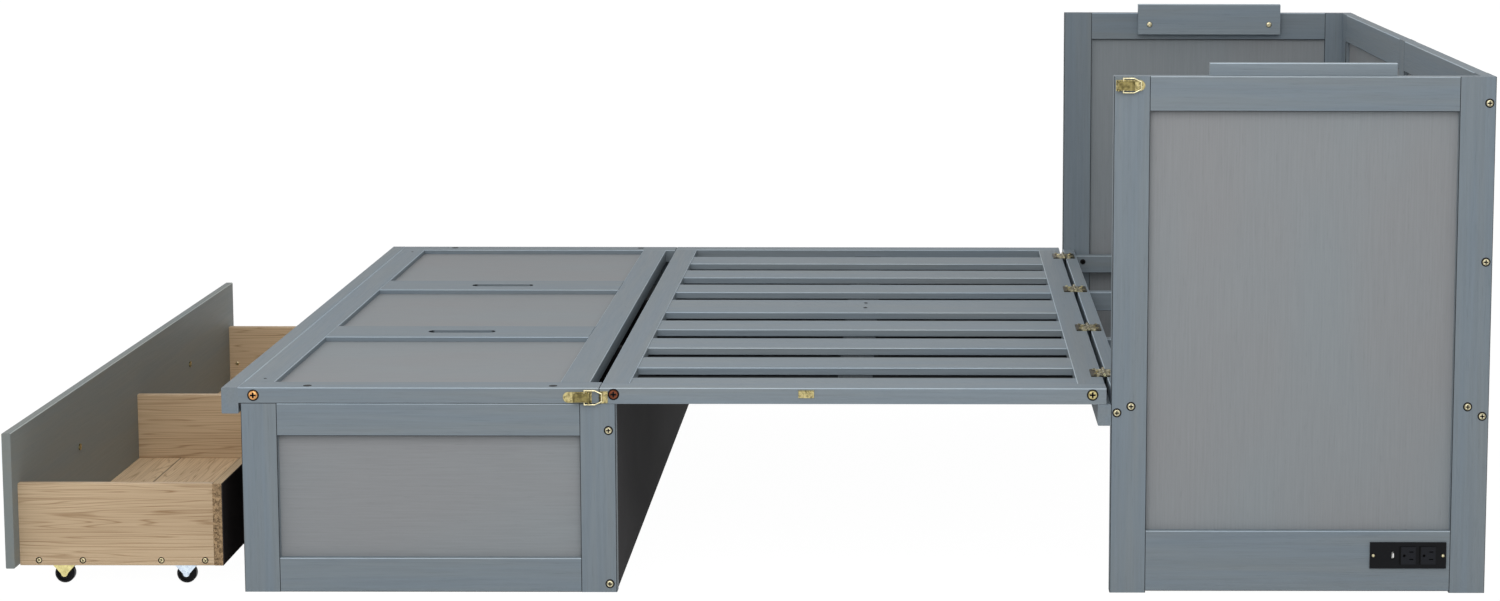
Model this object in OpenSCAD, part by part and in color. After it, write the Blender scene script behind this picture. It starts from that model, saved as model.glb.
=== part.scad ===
// Wall bed: a wall cabinet with a fold-up slat section and a free foot box with a rolling drawer.
// +X runs along the bed towards the wall, +Y across it, +Z up; the floor is at Z = 0.

/* [Bed] */
// Width of the bed across all three sections
bed_w = 1626; // [1300:2:2000]
// Height of the sleeping platform above the floor
platform_h = 348; // [330:1:420]
// Chamfer along the edges of the painted boards
edge_ease = 1.2; // [0.5:0.1:2]
// Depth of the grooves that hold the panels
groove_depth = 8; // [4:0.5:10]
// Thickness of the plywood panels
panel_t = 5; // [3:0.5:7]

/* [Cabinet] */
// Depth of the cabinet from its open front to the wall
cabinet_d = 630; // [550:2:800]
// Height of the side panels
cabinet_h = 870; // [800:2:1000]
// Thickness of the side frames
side_t = 25; // [20:0.5:32]
// Width of the side stiles
side_stile_w = 60; // [45:1:80]
// Height of the top rails
top_rail_h = 58; // [40:1:80]
// Height of the bottom rails
bottom_rail_h = 103; // [80:1:130]
// Lift of the bottom rails above the floor
rail_lift = 3; // [1:0.5:8]
// Depth of the panels behind the outer faces
panel_recess = 12; // [8:0.5:14]
// Thickness of the back frame
back_t = 22; // [18:0.5:28]
// Width of the back stiles and rails
back_stile_w = 58; // [40:1:80]
// Height of the middle back rail's centre
back_mid_z = 562; // [480:2:620]
// Length of the stacking cleats
cleat_l = 310; // [200:2:400]
// Height of the stacking cleats
cleat_h = 66; // [40:1:80]
// Thickness of the stacking cleats
cleat_t = 18; // [12:0.5:22]
// Height by which the cleats stand above the sides
cleat_rise = 20; // [10:1:30]

/* [Head platform] */
// Thickness of the front rail that carries the hinges
front_rail_t = 24; // [20:0.5:32]
// Height of the front rail
front_rail_h = 62; // [50:1:70]
// Thickness of the ledge that the slat section rests on
ledge_t = 22; // [15:0.5:30]
// Height of the ledge
ledge_h = 36; // [25:1:38]
// Width of the ledgers and joists
joist_w = 27; // [20:0.5:40]
// Height of the ledgers and joists
joist_h = 38; // [30:1:50]
// Thickness of the head slats that lie on the joists
head_slat_t = 11; // [8:0.5:14]
// Width of a head slat
head_slat_w = 76; // [50:1:90]
// Number of head slats
head_slats_n = 3; // [3:1:5]

/* [Slat section] */
// Length of the slat section
slat_len = 844; // [800:2:900]
// Gap between the slat section and the cabinet's front
hinge_gap = 8; // [7.5:0.5:10]
// Height of the slat section's rails
rail_h = 27; // [25:0.5:34]
// Width of the side rails
slat_rail_w = 43; // [35:1:55]
// Width of the end boards
slat_end_w = 46; // [35:1:60]
// Width of a slat
slat_w = 100; // [70:1:110]
// Width of the slat at the centre
centre_slat_w = 150; // [110:1:170]
// Width of the slat beside the near side rail
edge_slat_w = 60; // [40:1:80]
// Thickness of the slats
slat_t = 13; // [10:0.5:14]
// Depth of the slats below the frame's top
slat_drop = 2; // [1:0.5:4]
// Gap between the slats and the panels under them
slat_panel_gap = 3; // [2:0.5:4]
// Width of the cross brace under the slats
brace_w = 60; // [40:1:80]

/* [Foot box] */
// Depth of the foot box
box_d = 624; // [580:2:700]
// Length of box top left free to carry the slat section
box_ledge = 26; // [15:1:35]
// Height of the box's top rails
box_top_rail_h = 55; // [40:1:70]
// Height of the box's bottom rails
box_bottom_rail_h = 58; // [40:1:80]
// Thickness of the box's rear panel
rear_panel_t = 24; // [18:0.5:28]
// Thickness of the partitions under the lid
partition_t = 18; // [12:0.5:24]
// Length of the partitions
partition_l = 236; // [150:2:240]
// Length of the lid
lid_len = 600; // [560:2:680]
// Gap between the lid and the slat section
lid_gap = 1.5; // [1:0.1:3]
// Width of the lid's side rails
lid_rail_w = 52; // [40:1:65]
// Width of the lid's end boards
lid_end_w = 50; // [40:1:60]
// Width of the slot between the lid and the slat section
lid_slot_w = 20; // [12:1:30]
// Depth of the lid's panels below its frame
lid_recess = 9; // [6:0.5:11]
// Width of the lid's dividers
divider_w = 117; // [90:1:140]
// Length of the grip slots
grip_l = 124; // [100:1:150]
// Width of the grip slots
grip_w = 26; // [20:0.5:34]
// Thickness of the batten at the lid's end
batten_t = 28; // [20:0.5:35]
// Height of the batten
batten_h = 44; // [34:1:50]

/* [Drawer] */
// Length by which the drawer rolls out of the box
drawer_travel = 384; // [300:2:400]
// Depth of the drawer box behind its front
drawer_d = 344; // [300:2:370]
// Height of the front board
drawer_front_h = 231; // [200:1:235]
// Thickness of the front board
drawer_front_t = 15; // [12:0.5:18]
// Gap round the closed front board
drawer_front_gap = 3; // [2:0.5:5]
// Height of the sides and back
drawer_side_h = 141; // [120:1:170]
// Thickness of the sides and the centre partition
drawer_side_t = 15; // [12:0.5:18]
// Thickness of the back board
drawer_back_t = 17; // [12:0.5:20]
// Thickness of the bottom
drawer_bottom_t = 14; // [9:0.5:18]
// Clearance between the drawer and the box sides
drawer_clear = 13; // [8:0.5:20]
// Diameter of the caster wheels
wheel_d = 33; // [28:0.5:34]
// Width of the caster wheels
wheel_w = 14; // [10:0.5:18]
// Diameter of the knobs
knob_d = 30; // [24:1:36]
// Length of the knobs
knob_l = 25; // [18:1:32]

/* [Hardware] */
// Length of a hinge along its pin
hinge_l = 60; // [45:1:75]
// Width of one hinge leaf from the pin's centre
leaf_w = 23; // [18:0.5:28]
// Thickness of the hinge leaves
leaf_t = 2; // [1.5:0.1:2.5]
// Radius of the hinge knuckles
knuckle_r = 3; // [2.5:0.1:3.4]
// Radius of the hinge pins
pin_r = 1.5; // [1.2:0.05:1.7]
// Running clearance round a pin
pin_clear = 0.05; // [0.03:0.01:0.08]
// Diameter of the small screw heads
screw_head_d = 12; // [9:0.5:14]
// Diameter of the connector bolt heads
bolt_head_d = 16; // [12:0.5:18]
// Length of a draw latch's base
latch_l = 48; // [46:0.5:54]
// Width of a draw latch's base
latch_w = 18; // [16:0.5:20]
// Thickness of the latch sheet metal
latch_t = 1.2; // [1:0.1:1.4]
// Length of a latch loop between its bars
loop_l = 29; // [26:0.5:31]
// Width of a latch loop at its shoulders
loop_w = 26; // [25:0.5:28]
// Radius of the loop wire
wire_r = 1.2; // [1:0.05:1.3]

/* [Power outlet] */
// Length of the outlet plate
plate_l = 128; // [110:1:140]
// Height of the outlet plate
plate_h = 45; // [38:0.5:55]
// Thickness of the outlet plate
plate_t = 3; // [2:0.25:5]
// Distance from the plate to the cabinet's rear edge
plate_inset = 66; // [62:1:90]
// Height of the plate's centre above the floor
plate_z = 65; // [50:1:75]

/* [Hidden] */
$fn = 48;

// Colours of the finishes
paint = [0.49, 0.53, 0.56];
panel_paint = [0.55, 0.56, 0.56];
dark_paint = [0.19, 0.18, 0.18];
oak = [0.78, 0.66, 0.50];
brass = [0.76, 0.66, 0.40];
copper = [0.66, 0.42, 0.30];
zinc = [0.75, 0.76, 0.78];
black = [0.06, 0.06, 0.07];
off_white = [0.90, 0.90, 0.88];

// Overrun of a cut past the faces that it opens
cut = 1;
near = -1;
far = 1;
sides = [near, far];

// Places along the bed
drawer_reach = drawer_front_t + drawer_travel + drawer_front_gap;
total_l = knob_l + drawer_reach + box_d - box_ledge + slat_len + hinge_gap + cabinet_d;
cab_x1 = total_l / 2;
cab_x0 = cab_x1 - cabinet_d;
slat_x1 = cab_x0 - hinge_gap;
slat_x0 = slat_x1 - slat_len;
lid_x1 = slat_x0 - lid_gap;
lid_x0 = lid_x1 - lid_len;
box_x1 = slat_x0 + box_ledge;
box_x0 = box_x1 - box_d;
drawer_x0 = box_x0 - drawer_reach;
drawer_x1 = drawer_x0 + drawer_front_t;

// Places across the bed and up from the floor
half_w = bed_w / 2;
inner_w = half_w - side_t;
rest_z = platform_h - rail_h;
ledger_z1 = platform_h - head_slat_t;
ledger_z0 = ledger_z1 - joist_h;
// Place of the joists, partitions and lid dividers on each side of the centre
third_share = 1 / 6;
third_y = bed_w * third_share;

// Play of a panel in its grooves and of an insert in its hole
panel_play = 0.2;

// Screws: head height, shank radius and length, play round the shank, and the cross recess
screw_head_h = 2.2;
screw_shank_r = 2.2;
screw_shank_l = 16;
bolt_shank_r = 3.5;
bolt_shank_l = 20;
screw_play = 0.1;
drive_w = 1.2;
drive_depth = 0.9;
head_profile_shares = [[0, 0], [1, 0], [1, 0.35], [0.85, 0.75], [0.55, 1], [0, 1]];

// A solid box between two corners
module block(lo, hi) translate(lo) cube(hi - lo);

// A rectangle with eased corners
module eased(a, b, e) {
    polygon([[e, 0], [a - e, 0], [a, e], [a, b - e], [a - e, b], [e, b], [0, b - e], [0, e]]);
}

// A board between two corners, with its edges along X, Y or Z eased
module board_x(lo, hi, e = edge_ease) {
    s = hi - lo;
    translate(lo) rotate([90, 0, 90]) linear_extrude(s.x) eased(s.y, s.z, e);
}
module board_y(lo, hi, e = edge_ease) {
    s = hi - lo;
    translate([lo.x, hi.y, lo.z]) rotate([90, 0, 0]) linear_extrude(s.y) eased(s.x, s.z, e);
}
module board_z(lo, hi, e = edge_ease) {
    s = hi - lo;
    translate(lo) linear_extrude(s.z) eased(s.x, s.y, e);
}

// What is drawn on the near side is drawn again on the far side
module on_side(side) mirror([0, side == far ? 1 : 0, 0]) children();
module both_sides() for (side = sides) on_side(side) children();

// A cross-head screw whose head stands out towards -Y
module screw(head_d, shank_r, shank_l) {
    rotate([90, 0, 0]) {
        difference() {
            rotate_extrude()
                polygon([for (p = head_profile_shares) [p.x * head_d / 2, p.y * screw_head_h]]);
            for (turn = [0, 90]) rotate(turn) translate([0, 0, screw_head_h])
                cube([head_d / 2, drive_w, 2 * drive_depth], center = true);
        }
        translate([0, 0, -shank_l]) cylinder(h = shank_l + drive_depth, r = shank_r);
    }
}
// The hole that a screw's shank needs
module screw_hole(shank_r, shank_l) {
    rotate([90, 0, 0]) translate([0, 0, -shank_l - screw_play])
        cylinder(h = shank_l + screw_play + cut, r = shank_r + screw_play);
}

// A frame side on the near side: its stiles, its rails, and the panel in their grooves
module frame_stiles(x0, x1, z1) {
    for (x = [x0, x1 - side_stile_w])
        board_z([x, -half_w, 0], [x + side_stile_w, -inner_w, z1]);
}
module frame_rails(x0, x1, z1, low, low_h, top_h) {
    board_x([x0 + side_stile_w, -half_w, low], [x1 - side_stile_w, -inner_w, low + low_h]);
    board_x([x0 + side_stile_w, -half_w, z1 - top_h], [x1 - side_stile_w, -inner_w, z1]);
}
module frame_panel(x0, x1, z1, low, low_h, top_h, grow) {
    g = groove_depth + grow;
    y0 = -half_w + panel_recess - grow;
    block([x0 + side_stile_w - g, y0, low + low_h - g],
        [x1 - side_stile_w + g, y0 + panel_t + 2 * grow, z1 - top_h + g]);
}

// Cabinet sides
back_stile_x = cab_x1 - back_t;
back_rails_z = [
    cabinet_h - back_stile_w,
    back_mid_z - back_stile_w / 2,
    rest_z - (joist_h + back_stile_w) / 2
];
back_top_share = 0.25;
front_screw_share = 0.4;
front_screw_drop_share = 0.66;
cabinet_screw_places = [
    [back_stile_x + back_t / 2, back_rails_z[0] + back_stile_w * back_top_share],
    [back_stile_x + back_t / 2, back_rails_z[1] + back_stile_w / 2],
    [back_stile_x + back_t / 2, back_rails_z[2] + back_stile_w / 2],
    [back_stile_x - joist_w / 2, ledger_z0 + joist_h / 2],
    [cab_x0 + front_rail_t * front_screw_share, platform_h - front_rail_h * front_screw_drop_share],
    [cab_x0 + front_rail_t + joist_w / 3, ledger_z0 + joist_h / 2]
];
module at_cabinet_screws() {
    for (p = cabinet_screw_places) translate([p.x, -half_w, p.y]) children();
}
module cabinet_side_panel(grow = 0) {
    frame_panel(cab_x0, cab_x1, cabinet_h, rail_lift, bottom_rail_h, top_rail_h, grow);
}
module side_stiles() {
    color(paint) both_sides() difference() {
        frame_stiles(cab_x0, cab_x1, cabinet_h);
        cabinet_side_panel(panel_play);
        at_cabinet_screws() screw_hole(screw_shank_r, screw_shank_l);
    }
}
module side_rails() {
    color(paint) difference() {
        both_sides() difference() {
            frame_rails(cab_x0, cab_x1, cabinet_h, rail_lift, bottom_rail_h, top_rail_h);
            cabinet_side_panel(panel_play);
        }
        power_cutout();
        at_plate_screws() screw_hole(plate_screw_shank_r, plate_screw_shank_l);
    }
}
module side_panels() color(panel_paint) both_sides() cabinet_side_panel();

// Back frame: stiles at both ends and at the centre, three rails, and the panels between them
back_stiles_y = [-inner_w, -back_stile_w / 2, inner_w - back_stile_w];
back_bays = [
    [-inner_w + back_stile_w, -back_stile_w / 2],
    [back_stile_w / 2, inner_w - back_stile_w]
];
back_rows = [
    [back_rails_z[1] + back_stile_w, back_rails_z[0]],
    [back_rails_z[2] + back_stile_w, back_rails_z[1]]
];
back_panel_x = back_stile_x + (back_t - panel_t) / 2;

module back_panel_set(grow = 0) {
    g = groove_depth + grow;
    for (bay = back_bays, row = back_rows)
        block([back_panel_x - grow, bay[0] - g, row[0] - g],
            [back_panel_x + panel_t + grow, bay[1] + g, row[1] + g]);
}
module back_stiles() {
    color(paint) difference() {
        for (y = back_stiles_y)
            board_z([back_stile_x, y, back_rails_z[2]], [cab_x1, y + back_stile_w, cabinet_h]);
        back_panel_set(panel_play);
    }
}
module back_rails() {
    color(paint) difference() {
        for (z = back_rails_z, bay = back_bays)
            board_y([back_stile_x, bay[0], z], [cab_x1, bay[1], z + back_stile_w]);
        back_panel_set(panel_play);
    }
}
module back_panels() color(panel_paint) back_panel_set();

// Stacking cleats inside the sides, at the top
cleat_x0 = (cab_x0 + cab_x1 - cleat_l) / 2;
cleat_z0 = cabinet_h + cleat_rise - cleat_h;
cleat_screw_share = 0.08;
cleat_screw_low_share = 1 / 3;
cleat_shank_l = 14;
module at_cleat_screws() {
    for (share = [cleat_screw_share, 1 - cleat_screw_share])
        translate([cleat_x0 + cleat_l * share, -inner_w + cleat_t, cleat_z0 + cleat_h * cleat_screw_low_share])
            rotate(180) children();
}
module top_cleats() {
    color(paint) both_sides() difference() {
        board_x([cleat_x0, -inner_w, cleat_z0], [cleat_x0 + cleat_l, -inner_w + cleat_t, cleat_z0 + cleat_h]);
        at_cleat_screws() screw_hole(screw_shank_r, cleat_shank_l);
    }
}
module cleat_screws() {
    color(brass) both_sides() at_cleat_screws() screw(screw_head_d, screw_shank_r, cleat_shank_l);
}
module cabinet_screws() {
    color(brass) both_sides() at_cabinet_screws() screw(screw_head_d, screw_shank_r, screw_shank_l);
    color(brass) at_plate_screws() screw(plate_screw_head_d, plate_screw_shank_r, plate_screw_shank_l);
}

// Head platform: the front rail and its ledge, ledgers, joists and slats
module front_rail() {
    color(paint) board_y([cab_x0, -inner_w, platform_h - front_rail_h],
        [cab_x0 + front_rail_t, inner_w, platform_h]);
}
module front_ledge() {
    color(paint) board_y([cab_x0 - ledge_t, -half_w, rest_z - ledge_h], [cab_x0, half_w, rest_z]);
}
module head_beam(y) {
    board_x([cab_x0 + front_rail_t, y, ledger_z0], [back_stile_x, y + joist_w, ledger_z1]);
}
module head_ledgers() color(paint) both_sides() head_beam(-inner_w);
module head_joists() color(paint) both_sides() head_beam(-third_y - joist_w / 2);

head_room = cabinet_d - back_t - front_rail_t;
head_slat_gap = (head_room - head_slats_n * head_slat_w) / (head_slats_n + 1);
module head_slats() {
    color(paint) for (i = [0:head_slats_n - 1]) {
        x = cab_x0 + front_rail_t + head_slat_gap + i * (head_slat_w + head_slat_gap);
        board_y([x, -inner_w, ledger_z1], [x + head_slat_w, inner_w, platform_h]);
    }
}

// Power outlet in the near bottom rail
plate_x1 = cab_x1 - plate_inset;
plate_x0 = plate_x1 - plate_l;
plate_screw_inset = 5.5;
plate_screw_head_d = 6;
plate_screw_shank_r = 1.4;
plate_screw_shank_l = 12;
box_end_wall = 10;
box_lip = 4;
box_wall = 1.8;
box_reach = 7;
outlet_y = -half_w - plate_t;
socket_w = 27;
socket_h = 30;
socket_proud = 1.5;
socket_depth = 10;
socket_place_shares = [0.495, 0.755];
blade_x = 6;
blade_w = 1.8;
blade_l = 7.2;
blade_pitch = 12.7;
ground_x = -6;
ground_r = 2.4;
usb_share = 0.3;
usb_w = 6;
usb_h = 14;
usb_wall = 0.8;
usb_tongue = 2;

module at_outlets() {
    for (share = socket_place_shares) translate([plate_x0 + plate_l * share, outlet_y, plate_z]) children();
}
module at_usb() translate([plate_x0 + plate_l * usb_share, outlet_y, plate_z]) children();
module at_plate_screws() {
    for (x = [plate_x0 + plate_screw_inset, plate_x1 - plate_screw_inset])
        translate([x, outlet_y, plate_z]) children();
}
// An insert that stands out of the plate and reaches behind it
module insert_body(w, h, proud, play = 0) {
    translate([-w / 2 - play, -proud, -h / 2 - play])
        cube([w + 2 * play, proud + plate_t + socket_depth, h + 2 * play]);
}
module power_cutout(play = 0, wall = 0) {
    block([plate_x0 + box_end_wall + play + wall, -half_w - cut, plate_z - plate_h / 2 + box_lip + play + wall],
        [plate_x1 - box_end_wall - play - wall, -inner_w + cut,
            plate_z + plate_h / 2 - box_lip - play - wall]);
}
module power_plate() {
    color(black) difference() {
        board_x([plate_x0, outlet_y, plate_z - plate_h / 2], [plate_x1, -half_w, plate_z + plate_h / 2],
            plate_t / 4);
        at_outlets() insert_body(socket_w, socket_h, socket_proud, panel_play);
        at_usb() insert_body(usb_w, usb_h, cut, panel_play);
        at_plate_screws() screw_hole(plate_screw_shank_r, plate_screw_shank_l);
    }
}
module power_sockets() {
    color(black) at_outlets() difference() {
        insert_body(socket_w, socket_h, socket_proud);
        for (up = [-1, 1]) translate([blade_x, -socket_proud, up * blade_pitch / 2])
            cube([blade_l, socket_depth, blade_w], center = true);
        translate([ground_x, -socket_proud, 0]) rotate([90, 0, 0])
            cylinder(h = socket_depth, r = ground_r, center = true);
    }
}
module usb_port() {
    color(off_white) at_usb() difference() {
        insert_body(usb_w, usb_h, 0);
        difference() {
            cube([usb_w - 2 * usb_wall, socket_depth, usb_h - 2 * usb_wall], center = true);
            translate([usb_wall, 0, 0]) cube([usb_tongue, 2 * socket_depth, usb_h / 2], center = true);
        }
    }
}
module power_box() {
    color(black) difference() {
        intersection() {
            translate([0, box_reach, 0]) power_cutout(panel_play);
            block([plate_x0, -half_w, 0], [plate_x1, -inner_w + box_reach, cabinet_h]);
        }
        translate([0, box_reach - box_wall - cut, 0]) power_cutout(panel_play, box_wall);
    }
}

// Butt hinges on top of the platform
hinge_x = (cab_x0 + slat_x1) / 2;
hinge_z = platform_h + knuckle_r;
hinge_place_shares = [-0.417, -0.139, 0.139, 0.417];
knuckles_n = 5;
knuckle_gap = 0.3;
knuckle_l = hinge_l / knuckles_n;
pin_head_r = 2.2;
pin_head_h = 1;
module at_hinges() {
    for (share = hinge_place_shares) translate([hinge_x, bed_w * share, hinge_z]) children();
}
// A leaf towards +X whose knuckles start at the place given and skip every second one
module hinge_leaf(first) {
    reach = knuckle_r + knuckle_gap;
    difference() {
        union() {
            block([reach, -hinge_l / 2, -knuckle_r], [leaf_w, hinge_l / 2, leaf_t - knuckle_r]);
            for (i = [first:2:knuckles_n - 1]) {
                y0 = -hinge_l / 2 + i * knuckle_l + knuckle_gap / 2;
                y1 = y0 + knuckle_l - knuckle_gap;
                block([0, y0, -knuckle_r], [reach + cut, y1, leaf_t - knuckle_r]);
                translate([0, y1, 0]) rotate([90, 0, 0]) cylinder(h = y1 - y0, r = knuckle_r);
            }
        }
        rotate([90, 0, 0]) cylinder(h = 2 * hinge_l, r = pin_r + pin_clear, center = true);
    }
}
module hinge_fixed_leaves() color(brass) at_hinges() hinge_leaf(0);
module hinge_moving_leaves() color(brass) at_hinges() mirror([1, 0, 0]) hinge_leaf(1);
module hinge_pins() {
    color(brass) at_hinges() {
        rotate([90, 0, 0]) cylinder(h = hinge_l, r = pin_r, center = true);
        for (end = sides) translate([0, end * (hinge_l + pin_head_h) / 2, 0]) rotate([90, 0, 0])
            cylinder(h = pin_head_h, r = pin_head_r, center = true);
    }
}

// Draw latches. A latch is drawn pulling towards +X and standing out towards -Y, with the
// strike end of its base at the origin. Its lever turns on a pin, and its loop on the lever.
latch_pin_u = -4;
latch_pin_v = 7;
latch_pin_r = 1.3;
loop_pin_u = -12;
loop_pin_v = 4.8;
lever_l = 25;
lever_w = 14.4;
lever_top_v = 10;
lever_low_v = 2.4;
lever_end_r = 3;
lever_lift = 1.5;
ear_play = 0.3;
ear_l = 6;
loop_narrow_w = 15;
loop_shoulder_share = 0.6;
// Radius of the rounded bends of the loop's wire, as a share of the wire's radius
bend_share = 1.1;
grip_u = latch_pin_u - lever_l;
ear_w = lever_w / 2 + ear_play;

module latch_base() {
    rotate([90, 0, 0]) linear_extrude(latch_t) {
        translate([-latch_l + latch_w / 2, -latch_w / 2]) square([latch_l - latch_w / 2, latch_w]);
        translate([-latch_l + latch_w / 2, 0]) circle(d = latch_w);
    }
    for (up = [0, 1]) mirror([0, 0, up]) translate([0, 0, ear_w]) linear_extrude(latch_t) {
        translate([latch_pin_u - ear_l / 2, -latch_pin_v]) square([ear_l, latch_pin_v]);
        translate([latch_pin_u, -latch_pin_v]) circle(r = lever_end_r);
    }
    translate([latch_pin_u, -latch_pin_v, 0])
        cylinder(h = 2 * (ear_w + latch_t) + latch_t, r = latch_pin_r, center = true);
}
module latch_lever() {
    bend_u = grip_u + lever_end_r;
    difference() {
        union() {
            for (up = [0, 1]) mirror([0, 0, up]) translate([0, 0, lever_w / 2 - latch_t])
                linear_extrude(latch_t) {
                    translate([latch_pin_u, -latch_pin_v]) circle(r = lever_end_r);
                    polygon([
                        [latch_pin_u, -lever_top_v], [latch_pin_u, -latch_pin_v + lever_end_r],
                        [loop_pin_u + lever_end_r, -lever_low_v], [bend_u, -lever_low_v],
                        [grip_u, -latch_pin_v], [grip_u, -lever_top_v], [bend_u, -lever_top_v]
                    ]);
                }
            translate([0, 0, -lever_w / 2]) linear_extrude(lever_w) polygon([
                [latch_pin_u, -lever_top_v], [latch_pin_u, -lever_top_v + latch_t],
                [bend_u, -lever_top_v + latch_t], [grip_u - lever_lift, -lever_top_v - lever_lift + latch_t],
                [grip_u - lever_lift, -lever_top_v - lever_lift], [bend_u, -lever_top_v]
            ]);
        }
        translate([latch_pin_u, -latch_pin_v, 0])
            cylinder(h = 2 * lever_w, r = latch_pin_r + pin_clear, center = true);
        translate([loop_pin_u, -loop_pin_v, 0])
            cylinder(h = 2 * lever_w, r = wire_r + pin_clear, center = true);
    }
}
// A straight length of the loop's wire between two points, given as [along, up]
module wire(a, b) {
    d = b - a;
    translate([a[0], 0, a[1]]) {
        sphere(r = wire_r * bend_share);
        rotate([0, atan2(d[0], d[1]), 0]) cylinder(h = norm(d), r = wire_r);
    }
}
module latch_loop() {
    mid = loop_w / 2 - wire_r;
    tip = loop_narrow_w / 2 - wire_r;
    shoulder = loop_l * loop_shoulder_share;
    corners = [[0, -mid], [0, mid], [shoulder, mid], [loop_l, tip], [loop_l, -tip], [shoulder, -mid]];
    translate([loop_pin_u, -loop_pin_v, 0])
        for (i = [0:len(corners) - 1]) wire(corners[i], corners[(i + 1) % len(corners)]);
}
// The loop folded back round the lever
module stowed_loop() translate([2 * loop_pin_u, 0, 0]) mirror([1, 0, 0]) latch_loop();

// A strike: a plate with a rolled lip at the edge that faces the latch
strike_l = 13;
strike_h = 3;
strike_w = 20;
wide_strike_w = 26;
lip_r = 1;
bar_gap = 0.3;
module strike(w) {
    block([0, -latch_t, -w / 2], [strike_l, 0, w / 2]);
    block([0, lip_r - strike_h, -w / 2], [latch_t, 0, w / 2]);
    translate([lip_r, lip_r - strike_h, 0]) cylinder(h = w, r = lip_r, center = true);
}
// Distance from a latch's origin to the edge of its strike, so that the loop's bar clears the lip
strike_reach = loop_pin_u + loop_l - wire_r - bar_gap - 2 * lip_r;

// Lid latches pull the foot box to the slat section
lid_latch_drop_share = 0.58;
lid_latch_z = platform_h - rail_h * lid_latch_drop_share;
lid_strike_x = slat_x0 + bar_gap;
lid_latch_x = lid_strike_x - strike_reach;
module at_lid_latch(side) on_side(side) translate([lid_latch_x, -half_w, lid_latch_z]) children();

// Cabinet latches hold the slat section when it is folded up
cabinet_latch_inset = 3;
cabinet_latch_drop = 15;
cabinet_latch_x = cab_x0 + cabinet_latch_inset;
cabinet_latch_z = cabinet_h - cabinet_latch_drop;
cabinet_strike_x = hinge_x + hinge_z - cabinet_latch_z;
cabinet_strike_z = hinge_z + cabinet_latch_x - strike_reach - hinge_x;
module at_cabinet_latch(side) {
    on_side(side) translate([cabinet_latch_x, -half_w, cabinet_latch_z]) mirror([1, 0, 0]) children();
}

module lid_latch_bases() color(brass) for (side = sides) at_lid_latch(side) latch_base();
module near_lid_latch_lever() color(brass) at_lid_latch(near) latch_lever();
module far_lid_latch_lever() color(brass) at_lid_latch(far) latch_lever();
module near_lid_latch_loop() color(brass) at_lid_latch(near) latch_loop();
module far_lid_latch_loop() color(brass) at_lid_latch(far) latch_loop();
module cabinet_latch_bases() color(brass) for (side = sides) at_cabinet_latch(side) latch_base();
module near_cabinet_latch_lever() color(brass) at_cabinet_latch(near) latch_lever();
module far_cabinet_latch_lever() color(brass) at_cabinet_latch(far) latch_lever();
module near_cabinet_latch_loop() color(brass) at_cabinet_latch(near) stowed_loop();
module far_cabinet_latch_loop() color(brass) at_cabinet_latch(far) stowed_loop();
module latch_strikes() {
    color(brass) both_sides() {
        translate([lid_strike_x, -half_w, lid_latch_z]) strike(strike_w);
        translate([cabinet_strike_x, -half_w, cabinet_strike_z]) rotate([0, 90, 0]) strike(wide_strike_w);
    }
}

// Slat section: equal gaps, the last one beside the far side rail, and thin panels that close the underside
slat_inner_w = half_w - slat_rail_w;
slat_widths = [edge_slat_w, slat_w, slat_w, slat_w, centre_slat_w, slat_w, slat_w, slat_w];
function sum(list, n, i = 0) = i >= n ? 0 : list[i] + sum(list, n, i + 1);
slat_gap = (2 * slat_inner_w - sum(slat_widths, len(slat_widths))) / len(slat_widths);
slat_z1 = platform_h - slat_drop;
slat_z0 = slat_z1 - slat_t;
slat_field = [slat_x0 + slat_end_w, slat_x1 - slat_end_w];
brace_x0 = (slat_x0 + slat_x1 - brace_w) / 2;
brace_x1 = brace_x0 + brace_w;
slat_bays = [[slat_field[0], brace_x0], [brace_x1, slat_field[1]]];
slat_panel_z1 = slat_z0 - slat_panel_gap;
slat_bolt_share = 0.6;

module slat_panel_set(grow = 0) {
    g = groove_depth + grow;
    for (bay = slat_bays)
        block([bay[0] - g, -slat_inner_w - g, slat_panel_z1 - panel_t - grow],
            [bay[1] + g, slat_inner_w + g, slat_panel_z1 + grow]);
}

module at_slat_bolts() {
    for (x = [slat_x0 + slat_end_w / 2, slat_x1 - slat_end_w / 2])
        translate([x, -half_w, rest_z + rail_h * slat_bolt_share]) children();
}
module slat_side_rails() {
    color(paint) difference() {
        both_sides() difference() {
            board_x([slat_x0, -half_w, rest_z], [slat_x1, -slat_inner_w, platform_h]);
            at_slat_bolts() screw_hole(bolt_shank_r, bolt_shank_l);
        }
        slat_panel_set(panel_play);
    }
}
module slat_end_boards() {
    color(paint) difference() {
        for (x = [slat_x0, slat_field[1]])
            board_y([x, -slat_inner_w, rest_z], [x + slat_end_w, slat_inner_w, platform_h]);
        slat_panel_set(panel_play);
    }
}
module slats() {
    color(paint) for (i = [0:len(slat_widths) - 1]) {
        y = -slat_inner_w + sum(slat_widths, i) + i * slat_gap;
        board_x([slat_field[0], y, slat_z0], [slat_field[1], y + slat_widths[i], slat_z1]);
    }
}
module cross_brace() {
    color(paint) difference() {
        board_y([brace_x0, -slat_inner_w, rest_z], [brace_x1, slat_inner_w, slat_z0]);
        slat_panel_set(panel_play);
    }
}
module slat_panels() color(panel_paint) slat_panel_set();
module slat_bolts() color(copper) both_sides() at_slat_bolts() screw(bolt_head_d, bolt_shank_r, bolt_shank_l);

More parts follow.
